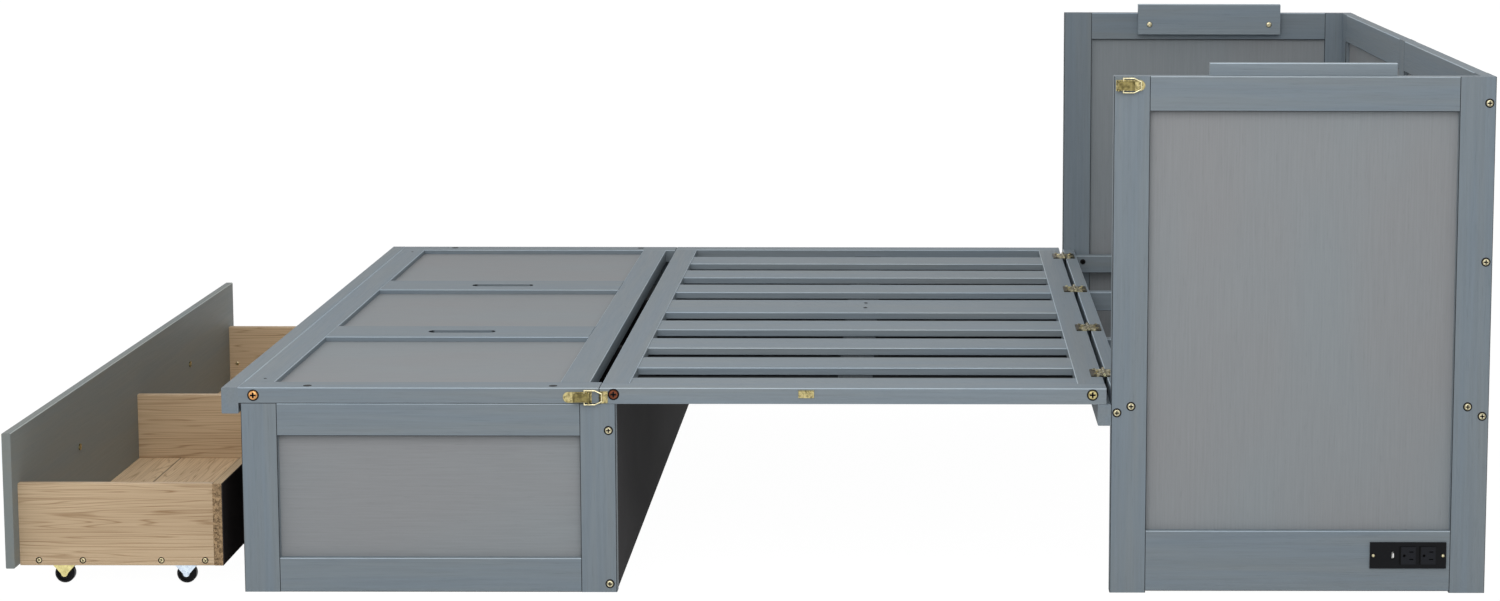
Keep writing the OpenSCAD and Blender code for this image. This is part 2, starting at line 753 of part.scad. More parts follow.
// Foot box
box_screw_shares = [0.86, 0.045];
module at_box_screws() {
    for (share = box_screw_shares)
        translate([box_x1 - rear_panel_t / 2, -half_w, rest_z * share]) children();
}
module box_side_panel(grow = 0) {
    frame_panel(box_x0, box_x1, rest_z, 0, box_bottom_rail_h, box_top_rail_h, grow);
}
module box_stiles() {
    color(paint) both_sides() difference() {
        frame_stiles(box_x0, box_x1, rest_z);
        box_side_panel(panel_play);
        at_box_screws() screw_hole(screw_shank_r, screw_shank_l);
    }
}
module box_rails() {
    color(paint) both_sides() difference() {
        frame_rails(box_x0, box_x1, rest_z, 0, box_bottom_rail_h, box_top_rail_h);
        box_side_panel(panel_play);
    }
}
module box_panels() color(panel_paint) both_sides() box_side_panel();
module box_rear_panel() {
    color(dark_paint) board_z([box_x1 - rear_panel_t, -inner_w, rail_lift], [box_x1, inner_w, rest_z]);
}
module box_partitions() {
    color(dark_paint) both_sides()
        translate([box_x1 - rear_panel_t - partition_l, -third_y - partition_t / 2, rail_lift])
            board_x([0, 0, 0], [partition_l, partition_t, rest_z - rail_lift]);
}

// Lid of the foot box: side rails, end boards, dividers with grip slots, and panels
lid_inner_w = half_w - lid_rail_w;
lid_field = [lid_x0 + lid_end_w, lid_x1 - lid_slot_w - lid_end_w];
lid_bays = [
    [-lid_inner_w, -third_y - divider_w / 2],
    [-third_y + divider_w / 2, third_y - divider_w / 2],
    [third_y + divider_w / 2, lid_inner_w]
];
lid_bolt_share = 0.52;

module lid_panel_set(grow = 0) {
    g = groove_depth + grow;
    for (bay = lid_bays)
        block([lid_field[0] - g, bay[0] - g, platform_h - lid_recess - panel_t - grow],
            [lid_field[1] + g, bay[1] + g, platform_h - lid_recess + grow]);
}
module at_lid_bolts() {
    translate([lid_x0 + lid_end_w / 2, -half_w, rest_z + rail_h * lid_bolt_share]) children();
}
module lid_side_rails() {
    color(paint) difference() {
        both_sides() difference() {
            board_x([lid_x0, -half_w, rest_z], [lid_x1, -lid_inner_w, platform_h]);
            at_lid_bolts() screw_hole(bolt_shank_r, bolt_shank_l);
        }
        lid_panel_set(panel_play);
    }
}
module lid_end_boards() {
    color(paint) difference() {
        for (x = [lid_x0, lid_field[1]])
            board_y([x, -lid_inner_w, rest_z], [x + lid_end_w, lid_inner_w, platform_h]);
        lid_panel_set(panel_play);
    }
}
module grip_slot() {
    translate([(lid_field[0] + lid_field[1]) / 2, -third_y, rest_z - cut]) linear_extrude(rail_h + 2 * cut) {
        square([grip_l - grip_w, grip_w], center = true);
        for (end = sides) translate([end * (grip_l - grip_w) / 2, 0]) circle(d = grip_w);
    }
}
module lid_dividers() {
    color(paint) difference() {
        both_sides() difference() {
            board_x([lid_field[0], -third_y - divider_w / 2, rest_z],
                [lid_field[1], -third_y + divider_w / 2, platform_h]);
            grip_slot();
        }
        lid_panel_set(panel_play);
    }
}
module lid_panels() color(panel_paint) lid_panel_set();
module lid_batten() {
    color(paint) board_y([lid_x0 - batten_t, -half_w, platform_h - batten_h], [lid_x0, half_w, platform_h]);
}
module box_screws() {
    color(brass) both_sides() at_box_screws() screw(screw_head_d, screw_shank_r, screw_shank_l);
    color(copper) both_sides() at_lid_bolts() screw(bolt_head_d, bolt_shank_r, bolt_shank_l);
}

// Drawer
drawer_z0 = 35;
drawer_front_z = 37;
drawer_front_inset = 8;
drawer_bottom_lift = 2;
drawer_bottom_z = drawer_z0 + drawer_bottom_lift;
drawer_half_w = inner_w - drawer_clear;
drawer_inner_w = drawer_half_w - drawer_side_t;
drawer_x2 = drawer_x1 + drawer_d;
knob_place_share = 0.25;
knob_height_share = 0.53;
knob_stud_r = 2.2;
knob_profile_shares = [[0, 0], [0.42, 0], [0.34, 0.15], [0.3, 0.4], [0.62, 0.55], [0.96, 0.68], [1, 0.8],
    [0.86, 0.94], [0.45, 1], [0, 1]];
module at_knobs() {
    for (side = sides)
        translate([drawer_x0, side * bed_w * knob_place_share,
            drawer_front_z + drawer_front_h * knob_height_share]) rotate([0, -90, 0]) children();
}
module drawer_front() {
    color(paint) difference() {
        board_y([drawer_x0, -half_w + drawer_front_inset, drawer_front_z],
            [drawer_x1, half_w - drawer_front_inset, drawer_front_z + drawer_front_h]);
        at_knobs() cylinder(h = 2 * (drawer_front_t + cut), r = knob_stud_r + screw_play, center = true);
    }
}
module drawer_knobs() {
    color(brass) at_knobs() {
        rotate_extrude() polygon([for (p = knob_profile_shares) [p.x * knob_d / 2, p.y * knob_l]]);
        translate([0, 0, -drawer_front_t]) cylinder(h = drawer_front_t + cut, r = knob_stud_r);
        translate([0, 0, -drawer_front_t - screw_head_h]) cylinder(h = screw_head_h, d = screw_head_d);
    }
}
module drawer_sides() {
    color(oak) both_sides()
        board_x([drawer_x1, -drawer_half_w, drawer_z0],
            [drawer_x2 - drawer_back_t, -drawer_inner_w, drawer_z0 + drawer_side_h]);
    color(oak) translate([0, -drawer_side_t / 2, 0])
        board_x([drawer_x1, 0, drawer_bottom_z + drawer_bottom_t],
            [drawer_x2 - drawer_back_t, drawer_side_t, drawer_z0 + drawer_side_h]);
}
module drawer_back() {
    color(oak) board_y([drawer_x2 - drawer_back_t, -drawer_half_w, drawer_z0],
        [drawer_x2, drawer_half_w, drawer_z0 + drawer_side_h]);
}
module drawer_bottom() {
    color(oak) block([drawer_x1, -drawer_inner_w, drawer_bottom_z],
        [drawer_x2 - drawer_back_t, drawer_inner_w, drawer_bottom_z + drawer_bottom_t]);
}

// Casters under the drawer's bottom, beside the sides
caster_share = 0.2;
caster_inset = 11;
caster_l = 46;
caster_t = 1.5;
axle_r = 2.5;
hub_proud = 0.5;
hub_w = wheel_w + 2 * hub_proud;
hub_r = 6;
cheek_gap = 0.4;
cheek_y = hub_w / 2 + cheek_gap;
cheek_end_r = 5.5;
tyre_round = 2;
hub_recess = 2.5;
axle_head_r = 3.6;
axle_head_h = 1;
axle_z = wheel_d / 2;
caster_top = drawer_bottom_z - axle_z;
front_caster_x = drawer_x1 + drawer_d * caster_share;
rear_caster_x = drawer_x1 + drawer_d * (1 - caster_share);
module at_caster(side, x) {
    on_side(side) translate([x, -drawer_inner_w + caster_inset, axle_z]) children();
}
module at_casters() {
    for (side = sides, x = [front_caster_x, rear_caster_x]) at_caster(side, x) children();
}
module wheel() {
    rim_r = wheel_d / 2 - tyre_round - hub_recess;
    rotate([90, 0, 0]) difference() {
        union() {
            rotate_extrude() polygon([
                [0, -wheel_w / 2 + hub_recess], [rim_r, -wheel_w / 2 + hub_recess], [rim_r, -wheel_w / 2],
                [wheel_d / 2 - tyre_round, -wheel_w / 2], [wheel_d / 2, -wheel_w / 2 + tyre_round],
                [wheel_d / 2, wheel_w / 2 - tyre_round], [wheel_d / 2 - tyre_round, wheel_w / 2],
                [rim_r, wheel_w / 2], [rim_r, wheel_w / 2 - hub_recess], [0, wheel_w / 2 - hub_recess]
            ]);
            cylinder(h = hub_w, r = hub_r, center = true);
        }
        cylinder(h = hub_w + cut, r = axle_r + pin_clear, center = true);
    }
}
module near_front_wheel() color(black) at_caster(near, front_caster_x) wheel();
module near_rear_wheel() color(black) at_caster(near, rear_caster_x) wheel();
module far_front_wheel() color(black) at_caster(far, front_caster_x) wheel();
module far_rear_wheel() color(black) at_caster(far, rear_caster_x) wheel();
module caster_brackets() {
    color(zinc) at_casters() {
        block([-caster_l / 2, -cheek_y - caster_t, caster_top - caster_t],
            [caster_l / 2, cheek_y + caster_t, caster_top]);
        for (up = [0, 1]) mirror([0, up, 0]) translate([0, -cheek_y, 0]) rotate([90, 0, 0])
            linear_extrude(caster_t) difference() {
                union() {
                    polygon([[-caster_l / 2, caster_top - caster_t / 2], [-cheek_end_r, 0],
                        [cheek_end_r, 0], [caster_l / 2, caster_top - caster_t / 2]]);
                    circle(r = cheek_end_r);
                }
                circle(r = axle_r + pin_clear);
            }
    }
}
module caster_axles() {
    color(zinc) at_casters() rotate([90, 0, 0]) {
        cylinder(h = 2 * (cheek_y + caster_t + pin_clear), r = axle_r, center = true);
        for (up = [0, 1]) mirror([0, 0, up]) translate([0, 0, cheek_y + caster_t + pin_clear])
            cylinder(h = axle_head_h, r = axle_head_r);
    }
}

side_stiles();
side_rails();
side_panels();
back_stiles();
back_rails();
back_panels();
top_cleats();
front_rail();
front_ledge();
head_ledgers();
head_joists();
head_slats();
cabinet_screws();
cleat_screws();
power_plate();
power_sockets();
usb_port();
power_box();
hinge_fixed_leaves();
hinge_pins();
cabinet_latch_bases();
near_cabinet_latch_lever();
near_cabinet_latch_loop();
far_cabinet_latch_lever();
far_cabinet_latch_loop();
slat_side_rails();
slat_end_boards();
slats();
cross_brace();
slat_panels();
slat_bolts();
hinge_moving_leaves();
latch_strikes();
box_stiles();
box_rails();
box_panels();
box_rear_panel();
box_partitions();
lid_side_rails();
lid_end_boards();
lid_dividers();
lid_panels();
lid_batten();
box_screws();
lid_latch_bases();
near_lid_latch_lever();
near_lid_latch_loop();
far_lid_latch_lever();
far_lid_latch_loop();
drawer_front();
drawer_sides();
drawer_back();
drawer_bottom();
drawer_knobs();
caster_brackets();
caster_axles();
near_front_wheel();
near_rear_wheel();
far_front_wheel();
far_rear_wheel();
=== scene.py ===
"""Wall bed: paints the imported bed, adds its small screws, and sets the studio that it stands in."""

import bpy
from bpy.props import FloatProperty, FloatVectorProperty, IntProperty, PointerProperty
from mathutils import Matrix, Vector


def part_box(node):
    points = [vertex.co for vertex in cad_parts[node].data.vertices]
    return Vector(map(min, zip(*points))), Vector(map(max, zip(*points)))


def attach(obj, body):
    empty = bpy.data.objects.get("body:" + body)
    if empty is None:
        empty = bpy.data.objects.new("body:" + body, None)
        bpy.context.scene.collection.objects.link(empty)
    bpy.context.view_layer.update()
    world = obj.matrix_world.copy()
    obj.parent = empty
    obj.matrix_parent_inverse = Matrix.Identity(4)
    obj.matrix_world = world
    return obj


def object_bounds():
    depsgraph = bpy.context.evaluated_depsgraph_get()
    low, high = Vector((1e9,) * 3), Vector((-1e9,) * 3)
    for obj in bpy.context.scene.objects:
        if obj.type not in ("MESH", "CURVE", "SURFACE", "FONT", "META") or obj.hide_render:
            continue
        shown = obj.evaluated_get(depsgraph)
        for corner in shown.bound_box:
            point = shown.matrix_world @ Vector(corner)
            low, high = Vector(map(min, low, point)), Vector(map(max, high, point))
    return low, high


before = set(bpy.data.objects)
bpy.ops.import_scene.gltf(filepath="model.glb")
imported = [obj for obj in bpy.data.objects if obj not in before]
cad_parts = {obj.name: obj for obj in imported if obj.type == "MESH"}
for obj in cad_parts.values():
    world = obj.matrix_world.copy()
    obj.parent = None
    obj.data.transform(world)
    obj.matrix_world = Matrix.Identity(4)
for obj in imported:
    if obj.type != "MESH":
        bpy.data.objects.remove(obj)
cad_low, cad_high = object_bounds()

bl_info = {
    "name": "Wall bed",
    "version": (1, 0, 0),
    "blender": (4, 5, 0),
    "location": "View3D > Sidebar > Wall Bed",
    "description": "Paints a folding wall bed with a storage drawer and adds its screws",
    "category": "Object",
}

# All lengths are in metres. The near side of the bed is at negative Y, and its drawer end at negative X.
NEAR, FAR = -1, 1
UP = (0, 0, 1)

# Painted shade: how much darker a board is where shade falls, between the slats and the panels under them
SLIT_PAINTED_SHADE = 0.85
# How far up from their undersides the slat section's cross brace and panels keep their paint; above, they get
# painted shade
BRACE_UNSHADED, PANELS_UNSHADED = 0.002, 0.001
# Tint of the drawer front, which is warmer than the frames
FRONT_TINT = (1.08, 1.0, 0.87)
# Width of the planks that the drawer's bottom shows, and how far their seams are moved, in planks
PLANK, SEAM_SHIFT = 0.115, 100.35
# How deep the raw ends and the dark film of the drawer's rear board show
CORE_DEPTH, FILM_DEPTH = 0.0004, 0.0016
# Bolts up to this far past the lid's batten have bright copper heads
BRIGHT_REACH = 0.06
# Where a hinge's knuckles start, in thicknesses of a leaf, and how far from the pin a leaf gets pale
# speckles of painted highlight, in widths of the leaf
KNUCKLES_START, HIGHLIGHT_REACH = 1.4, 0.6
# Width of a socket and of the gap at its left, the depth from which its slots are black, and a port's rim.
# The gap and the black slots are painted shade.
SOCKET_WIDTH, SOCKET_GAP, SOCKET_SUNK, PORT_RIM = 0.027, 0.0022, 0.0004, 0.0009

# Sides of a round head or seat, and the thickness of seats and of dark recesses, which are painted shade
ROUND_SIDES, SEAT_PLATE, RECESS_PLATE = 24, 0.0006, 0.0003
# The most that a screw is turned, in radians
HALF_TURN = 3.14159
# Shares of a screw head's width: the radius of its flat top, and the length and width of its recess
SCREW_TOP, SCREW_ARMS, SCREW_RECESS = 0.34, 0.62, 0.16
# Bolts smaller in radius than this get no dark recess of painted shade. The recess of the others is this
# many radii long, and its middle lies this far under the head's top.
SMALL_HEAD, BOLT_ARMS, RECESS_SUNK = 0.004, 1.24, 0.0001
# Places of a hinge leaf's screws: in halves of the hinge along it, and in widths of the leaf from the pin
HINGE_SCREWS = ((-0.7, 0.68), (0, 0.50), (0.7, 0.68))
# Heights of the heads on hinges and latches, as shares of their width
HINGE_HEAD, LATCH_HEAD = 0.3, 0.22
# Thickness of the latches' and strikes' plates, and a latch screw's place from its plate's round end
LATCH_PLATE, BASE_SCREW = 0.0012, 0.0092
# The screws of the strikes at the lid: from their plate's end, and half the distance between them
LID_STRIKE_IN, LID_STRIKE_HALF = 0.008, 0.0055
# The screws of the strikes for the folded bed: from their plate's end and top, and half their distance
FOLD_STRIKE_IN, FOLD_STRIKE_DOWN, FOLD_STRIKE_HALF = 0.013, 0.0085, 0.0075
# The screws outside the drawer: to each side of an axle, over the lower edge, and the height of their heads
CASTER_SCREW_STEP, CASTER_SCREW_UP, WOOD_HEAD = 0.037, 0.009, 0.0014
# Width of the dark ring of painted shade round a caster's screw, as a share of a bolt's
CASTER_RING = 0.7
# Thickness of the drawer's side boards, and their inner screws: from the board's front end and lower edge
SIDE_BOARD, SIDE_SCREW_IN, SIDE_SCREW_UP = 0.015, 0.016, 0.059
# The painted screws of the centre slat: past its middle, across the bed, and the height of their heads
SLAT_SCREW_ALONG, SLAT_SCREWS_ACROSS, SLAT_HEAD = 0.007, (0.065, 0.010), 0.0011
# Length and width of their dark recesses, which are painted shade, as shares of their heads
SLAT_ARMS = (0.7, 0.24)
# The ledgers' bolts: from the ledger's end, outer face and lower edge, and the height of their heads
LEDGER_BOLT, LEDGER_HEAD = (0.019, 0.027, 0.025), 0.004
# Dowels and plugs: each one's place along the bed, and how far it is in from its board's outer side
LID_DOWELS = ((-0.718, 0.018), (-0.308, 0.018))
LID_PLUGS = ((-0.802, 0.080),)
SLAT_PLUGS = ((0.602, 0.108),)

# Each lamp's name, the property that holds its power, its place and its width
LAMPS = (("key_light", "key", (0, -3.6, 2.6), 3.0), ("top_light", "top", (0.2, -0.8, 4.6), 3.0),
         ("side_light", "side", (-4.2, -1.5, 2.8), 2.5))
# Half the floor's width
FLOOR_HALF = 30.0
# The camera's sensor in millimetres, its shift, and where its view starts and ends
SENSOR, SHIFT, CLIP = 36, (-0.1160, -0.0892), (0.05, 100)


def middle(node):
    low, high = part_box(node)
    return (low + high) / 2


def tinted(rgb, *factors):
    """The colour with its parts multiplied: all by one number, or each by its own."""
    return tuple(c * s for c, s in zip(rgb, factors if len(factors) == 3 else factors * 3))


def colour_property(name, description, rgb):
    """A colour given as it looks on screen, 0 to 255, and kept as the linear values that shaders use."""
    linear = [((c / 255 + 0.055) / 1.055) ** 2.4 for c in rgb]
    return FloatVectorProperty(name=name, description=description, subtype="COLOR", size=3, min=0, max=1,
                               default=linear)


def length_property(name, description, metres):
    return FloatProperty(name=name, description=description, default=metres, min=0, precision=4,
                         unit="LENGTH", subtype="DISTANCE")


class WallBedFinishes(bpy.types.PropertyGroup):
    """Colours of the paint, wood, metal and plastic."""

    paint: colour_property("Paint", "Blue-gray paint on the frames, rails and slats", (122, 132, 139))
    panel: colour_property("Panels", "Gray paint on the plywood panels", (140, 144, 147))
    coating: colour_property("Dark coating", "Coating of the boards inside the foot box", (50, 49, 50))
    film: colour_property("Black film", "Film on the drawer's rear face", (58, 54, 54))
    oak_light: colour_property("Oak, light", "Light bands of the drawer's oak foil", (204, 180, 148))
    oak_dark: colour_property("Oak, dark", "Dark grain lines of the drawer's oak foil", (150, 121, 88))
    chips: colour_property("Particle board", "Raw core of the drawer's rear board", (178, 150, 116))
    brass: colour_property("Brass", "Antique brass of the knobs, latch plates and screws", (176, 164, 116))
    screw_brass: colour_property("Bolt brass", "Paler brass of the bolts in the frames", (198, 190, 158))
    olive: colour_property("Olive brass", "Darker brass of the latch levers", (122, 112, 72))
    # On the hinge pins this pale brass is partly a painted highlight
    pale_brass: colour_property("Pale brass", "Rubbed brass of latch loops and hinge pins", (226, 216, 176))
    bronze: colour_property("Bronze", "Dark bronze of the hinge leaves", (76, 68, 44))
    copper: colour_property("Copper", "Coppered bolts of the slat section beside the lid", (118, 68, 48))
    orange: colour_property("Bright copper", "Bright copper bolts at the lid's free end", (214, 156, 98))
    zinc: colour_property("Zinc", "Blue zinc plating of the rear casters", (196, 208, 222))
    yellow_zinc: colour_property("Yellow zinc", "Yellow zinc plating of the front casters", (204, 194, 136))
    plastic: colour_property("Outlet plastic", "Black plastic of the outlet and of the wheels", (15, 16, 19))
    usb: colour_property("USB plastic", "Pale plastic of the USB port", (244, 244, 242))
    grain_depth: length_property("Grain depth", "Depth of the wood grain under the paint", 0.00018)


class WallBedHardware(bpy.types.PropertyGroup):
    """Sizes of the hinges, bolts, screws, dowels and plugs."""

    hinge_leaf: length_property("Hinge leaf", "Width of a hinge leaf from the pin's centre", 0.023)
    hinge_plate: length_property("Hinge plate", "Thickness of a hinge leaf", 0.002)
    hinge_half: length_property("Half hinge", "Half the length of a hinge", 0.030)
    hinge_screw: length_property("Hinge screw", "Diameter of the screws in the hinge leaves", 0.0085)
    latch_screw: length_property("Latch screw", "Diameter of the screws in the latches and strikes", 0.0052)
    caster_screw: length_property("Caster screw", "Diameter of the screws in the drawer's sides", 0.0085)
    slat_screw: length_property("Slat screw", "Diameter of the painted screws in the centre slat", 0.0105)
    dowel: length_property("Dowel", "Diameter of the dark dowels in the lid's top", 0.014)
    plug: length_property("Plug", "Diameter of the small plugs in the end boards", 0.005)
    # The recess is drawn as a dark cross of painted shade
    recess: FloatProperty(name="Recess", description="Width of a bolt's cross recess as a share of its head",
                          subtype="FACTOR", default=0.19, min=0, max=0.5)
    ledger_bolt: length_property("Ledger bolt", "Diameter of the dark bolts in the ledgers", 0.012)
    bolt_head: length_property("Bolt head", "Height of a bolt's head over its board", 0.0022)
    # The dark ring round a bolt's head is painted shade
    bolt_seat: length_property("Bolt seat", "Width of the dark ring round a bolt's head", 0.0017)
    seed: IntProperty(name="Seed", description="Sets how each screw is turned", default=4, min=0)


class WallBedStudio(bpy.types.PropertyGroup):
    """Light, floor and camera."""

    key: FloatProperty(name="Key light", description="Power of the large lamp in front", default=66, min=0,
                       unit="POWER")
    top: FloatProperty(name="Top light", description="Power of the large lamp above", default=5, min=0,
                       unit="POWER")
    side: FloatProperty(name="Side light", description="Power of the lamp on the left", default=25, min=0,
                        unit="POWER")
    sky: FloatProperty(name="Sky", description="Strength of the even light all round", default=0.58, min=0)
    floor_glow: FloatProperty(name="Floor glow", description="Brightness that the camera adds to the floor",
                              subtype="FACTOR", default=0.985, min=0, max=1)
    floor_shade: FloatProperty(name="Floor shade", description="How much of the bed's shadow the camera sees",
                               subtype="FACTOR", default=0.05, min=0, max=1)
    floor_white: FloatProperty(name="Floor white", description="Share of the light that the floor throws back",
                               subtype="FACTOR", default=0.75, min=0, max=1)
    lens: FloatProperty(name="Lens", description="Focal length of the camera", default=70.361, min=1,
                        unit="CAMERA")
    place: FloatVectorProperty(name="Camera", description="Place of the camera", size=3, unit="LENGTH",
                               subtype="TRANSLATION", default=(0.29264, -5.61727, 1.28669))
    turn: FloatVectorProperty(name="Camera turn", description="Tilt, roll and turn of the camera", size=3,
                              subtype="EULER", unit="ROTATION", default=(1.453326, -0.00201, -0.00354))


def finishes():
    return bpy.context.scene.wall_bed_finishes


def hardware():
    return bpy.context.scene.wall_bed_hardware


def studio():
    return bpy.context.scene.wall_bed_studio


# Shader maths


class Value:
    """What changes over a surface: a node's output that Python's operators work on."""

    def __init__(self, nodes, socket):
        self.nodes, self.socket = nodes, socket

    def maths(self, operation, *values):
        return self.nodes.node("ShaderNodeMath", {"operation": operation}, *values)

    def __add__(self, other):
        return self.maths("ADD", self, other)

    __radd__ = __add__

    def __sub__(self, other):
        return self.maths("SUBTRACT", self, other)

    def __rsub__(self, other):
        return self.maths("SUBTRACT", other, self)

    def __mul__(self, other):
        return self.maths("MULTIPLY", self, other)

    __rmul__ = __mul__

    def __truediv__(self, other):
        return self.maths("DIVIDE", self, other)

    def __rtruediv__(self, other):
        return self.maths("DIVIDE", other, self)

    def __gt__(self, other):
        return self.maths("GREATER_THAN", self, other)

    def __lt__(self, other):
        return self.maths("LESS_THAN", self, other)

    def __abs__(self):
        return self.maths("ABSOLUTE", self)

    def larger(self, other):
        return self.maths("MAXIMUM", self, other)

    def limited(self):
        """Held between 0 and 1."""
        return self.maths("MINIMUM", self.larger(0), 1)

    def between(self, low, high):
        """0 below low, 1 above high, and straight in between."""
        return ((self - low) / (high - low)).limited()

    def fraction(self):
        return self.maths("FRACT", self)


class Nodes:
    """A shader's tree, to which nodes are added by calls."""

    def __init__(self, tree):
        self.tree = tree
        tree.nodes.clear()

    def node(self, kind, settings, *values, output=0, **named):
        """Adds a node, its settings, and what its sockets hold or are linked to. Returns one output."""
        made = self.tree.nodes.new(kind)
        for key, value in settings.items():
            setattr(made, key, value)
        inputs = [*enumerate(values), *((key.replace("_", " "), value) for key, value in named.items())]
        for key, value in inputs:
            socket = made.inputs[key]
            if isinstance(value, Value):
                self.tree.links.new(value.socket, socket)
            elif value is not None:
                socket.default_value = (*value, 1) if socket.type == "RGBA" else value
        return Value(self, made.outputs[output])

    def outputs(self, kind, *values):
        """Adds a node without settings. Returns all its outputs by name."""
        made = self.node(kind, {}, *values).socket.node
        return {output.name: Value(self, output) for output in made.outputs}

    def shown(self):
        """1 on what the camera sees, straight, mirrored or through glass, and 0 for all other light."""
        rays = self.outputs("ShaderNodeLightPath")
        return rays["Is Camera Ray"].larger(rays["Is Glossy Ray"]).larger(rays["Is Transmission Ray"])

    def close(self, kind, shader):
        """Ends the tree in its output node."""
        self.tree.links.new(shader.socket, self.tree.nodes.new(kind).inputs["Surface"])


class Finish(Nodes):
    """A material. Its patterns follow the place in the piece's own axes."""

    def __init__(self, name):
        self.material = bpy.data.materials.new(name)
        self.material.use_nodes = True
        super().__init__(self.material.node_tree)
        self.place = self.node("ShaderNodeTexCoord", {}, output="Object")
        self.x, self.y, self.z = self.parts(self.place)

    def parts(self, vector):
        return tuple(self.outputs("ShaderNodeSeparateXYZ", vector).values())

    def noise(self, scale, detail=2.0, rough=0.5, warp=0.0, place=None):
        return self.node("ShaderNodeTexNoise", {"noise_dimensions": "3D"}, Vector=place or self.place,
                         Scale=scale, Detail=detail, Roughness=rough, Distortion=warp)

    def streaks(self, axis, length, width, detail=3.0, rough=0.6, warp=0.0):
        """Noise drawn out along one axis, in streaks of about this length and width."""
        scale = tuple(1 / length if name == axis else 1 / width for name in "XYZ")
        place = self.node("ShaderNodeVectorMath", {"operation": "MULTIPLY"}, self.place, scale)
        return self.noise(1.0, detail, rough, warp, place)

    def blend(self, share, low, high):
        """A colour between low and high. A Mix node's colours are its inputs 6 and 7 and its output 2."""
        return self.node("ShaderNodeMix", {"data_type": "RGBA"}, share, *[None] * 5, low, high, output=2)

    def shade(self, colour, light):
        """The colour made lighter or darker by a number around 1."""
        return self.node("ShaderNodeVectorMath", {"operation": "SCALE"}, colour, Scale=light)

    def bump(self, height, depth):
        return self.node("ShaderNodeBump", {}, Strength=1.0, Distance=depth, Height=height)

    def facing(self):
        """The way that a face looks, in the piece's own axes."""
        return self.parts(self.node("ShaderNodeTexCoord", {}, output="Normal"))

    def edges(self):
        """1 on the eased edges of a board, 0 on its faces."""
        x, y, z = (abs(part) for part in self.facing())
        return (x * y + y * z + x * z).between(0.2, 0.45)

    def upper_edges(self):
        """1 on the eased edges that look up, 0 elsewhere."""
        return self.edges() * (self.facing()[2] > 0.3)

    def flat(self):
        """How squarely a face looks along one of the piece's own axes: 1 on a flat face."""
        x, y, z = (abs(part) for part in self.facing())
        return x.larger(y.larger(z))

    def painted(self, light, shaded_above):
        """The light of a board, darkened as painted shade above a height, where one is given."""
        return light if shaded_above is None else light * (1 - SLIT_PAINTED_SHADE * (self.z > shaded_above))

    def surface(self, colour, rough, metallic=0.0, normal=None, specular=0.5):
        shader = self.node("ShaderNodeBsdfPrincipled", {}, Base_Color=colour, Roughness=rough,
                           Metallic=metallic, Normal=normal, Specular_IOR_Level=specular)
        self.close("ShaderNodeOutputMaterial", shader)
        return self.material


def brushed_paint(name, axis, rgb, fine=1.0, lower=0.12, shaded_above=None):
    """Paint brushed along a board, through which the wood's grain shows. Its upper edges get a painted
    highlight; its other edges are darker, as dark joints and painted shade, or lighter as a painted
    highlight where lower is above 1. Above a height it may be darkened as painted shade."""
    f = Finish(name)
    bands = f.streaks(axis, 0.55, 0.03, rough=0.55, warp=0.4)
    lines = f.streaks(axis, 0.16, 0.0042, warp=0.25).between(0.36, 0.62)
    pores = f.streaks(axis, 0.045, 0.0016, detail=2.0).between(0.60, 0.72)
    upper = f.upper_edges()
    light = 0.93 + 0.085 * fine * lines + 0.05 * bands - 0.10 * fine * pores
    # Painted highlight on the upper eased edges; the others are darker as joints and painted shade, or lighter
    # as a painted highlight where lower is above 1
    light = light * (1 + upper * (0.9 + 0.4 * bands)) * (1 + (f.edges() - upper) * (lower - 1))
    colour = f.blend(bands.between(0.35, 0.7), tinted(rgb, 0.97, 1.0, 1.035), tinted(rgb, 1.03, 1.0, 0.965))
    height = lines * 0.6 + bands * 0.5 - pores * 0.7
    # Above the height given, the board gets painted shade
    return f.surface(f.shade(colour, f.painted(light, shaded_above)), 0.52 + 0.12 * lines,
                     normal=f.bump(height, finishes().grain_depth * fine), specular=0.25)


def panel_paint(name, axis, rgb, shaded_above=None):
    """Thin gray paint on plywood, with long fine fibres and slow cloudy changes of tone. Above a height it may
    be darkened as painted shade."""
    f = Finish(name)
    clouds = f.streaks(axis, 0.5, 0.22, detail=2.0, rough=0.5)
    fibres = f.streaks(axis, 0.11, 0.0030, detail=4.0, rough=0.62, warp=0.3)
    flecks = f.streaks(axis, 0.030, 0.0013, detail=2.0).between(0.62, 0.74)
    light = 0.955 + 0.075 * fibres.between(0.34, 0.64) + 0.045 * (clouds - 0.5) - 0.085 * flecks
    colour = f.blend(clouds.between(0.35, 0.65), tinted(rgb, 1.02, 0.99, 0.98), tinted(rgb, 0.98, 1.01, 1.02))
    # Above the height given, the panel gets painted shade
    return f.surface(f.shade(colour, f.painted(light, shaded_above)), 0.55 + 0.12 * fibres,
                     normal=f.bump(fibres - 0.6 * flecks, finishes().grain_depth * 0.7), specular=0.15)


def dark_coating(name, axis):
    """A dark film on particle board, dull and dusty, made lighter towards the near side as painted light."""
    f = Finish(name)
    dust = f.noise(9.0, 4.0, 0.6)
    lines = f.streaks(axis, 0.2, 0.004)
    # Painted light: the film is lighter towards the near side, at negative Y
    light = (0.85 + 0.35 * dust.between(0.4, 0.75) + 0.12 * lines) * (1.5 - 0.9 * f.y.between(-0.8, -0.2))
    return f.surface(f.shade(tuple(finishes().coating), light), 0.72 + 0.16 * dust,
                     normal=f.bump(lines, 0.00006), specular=0.06)


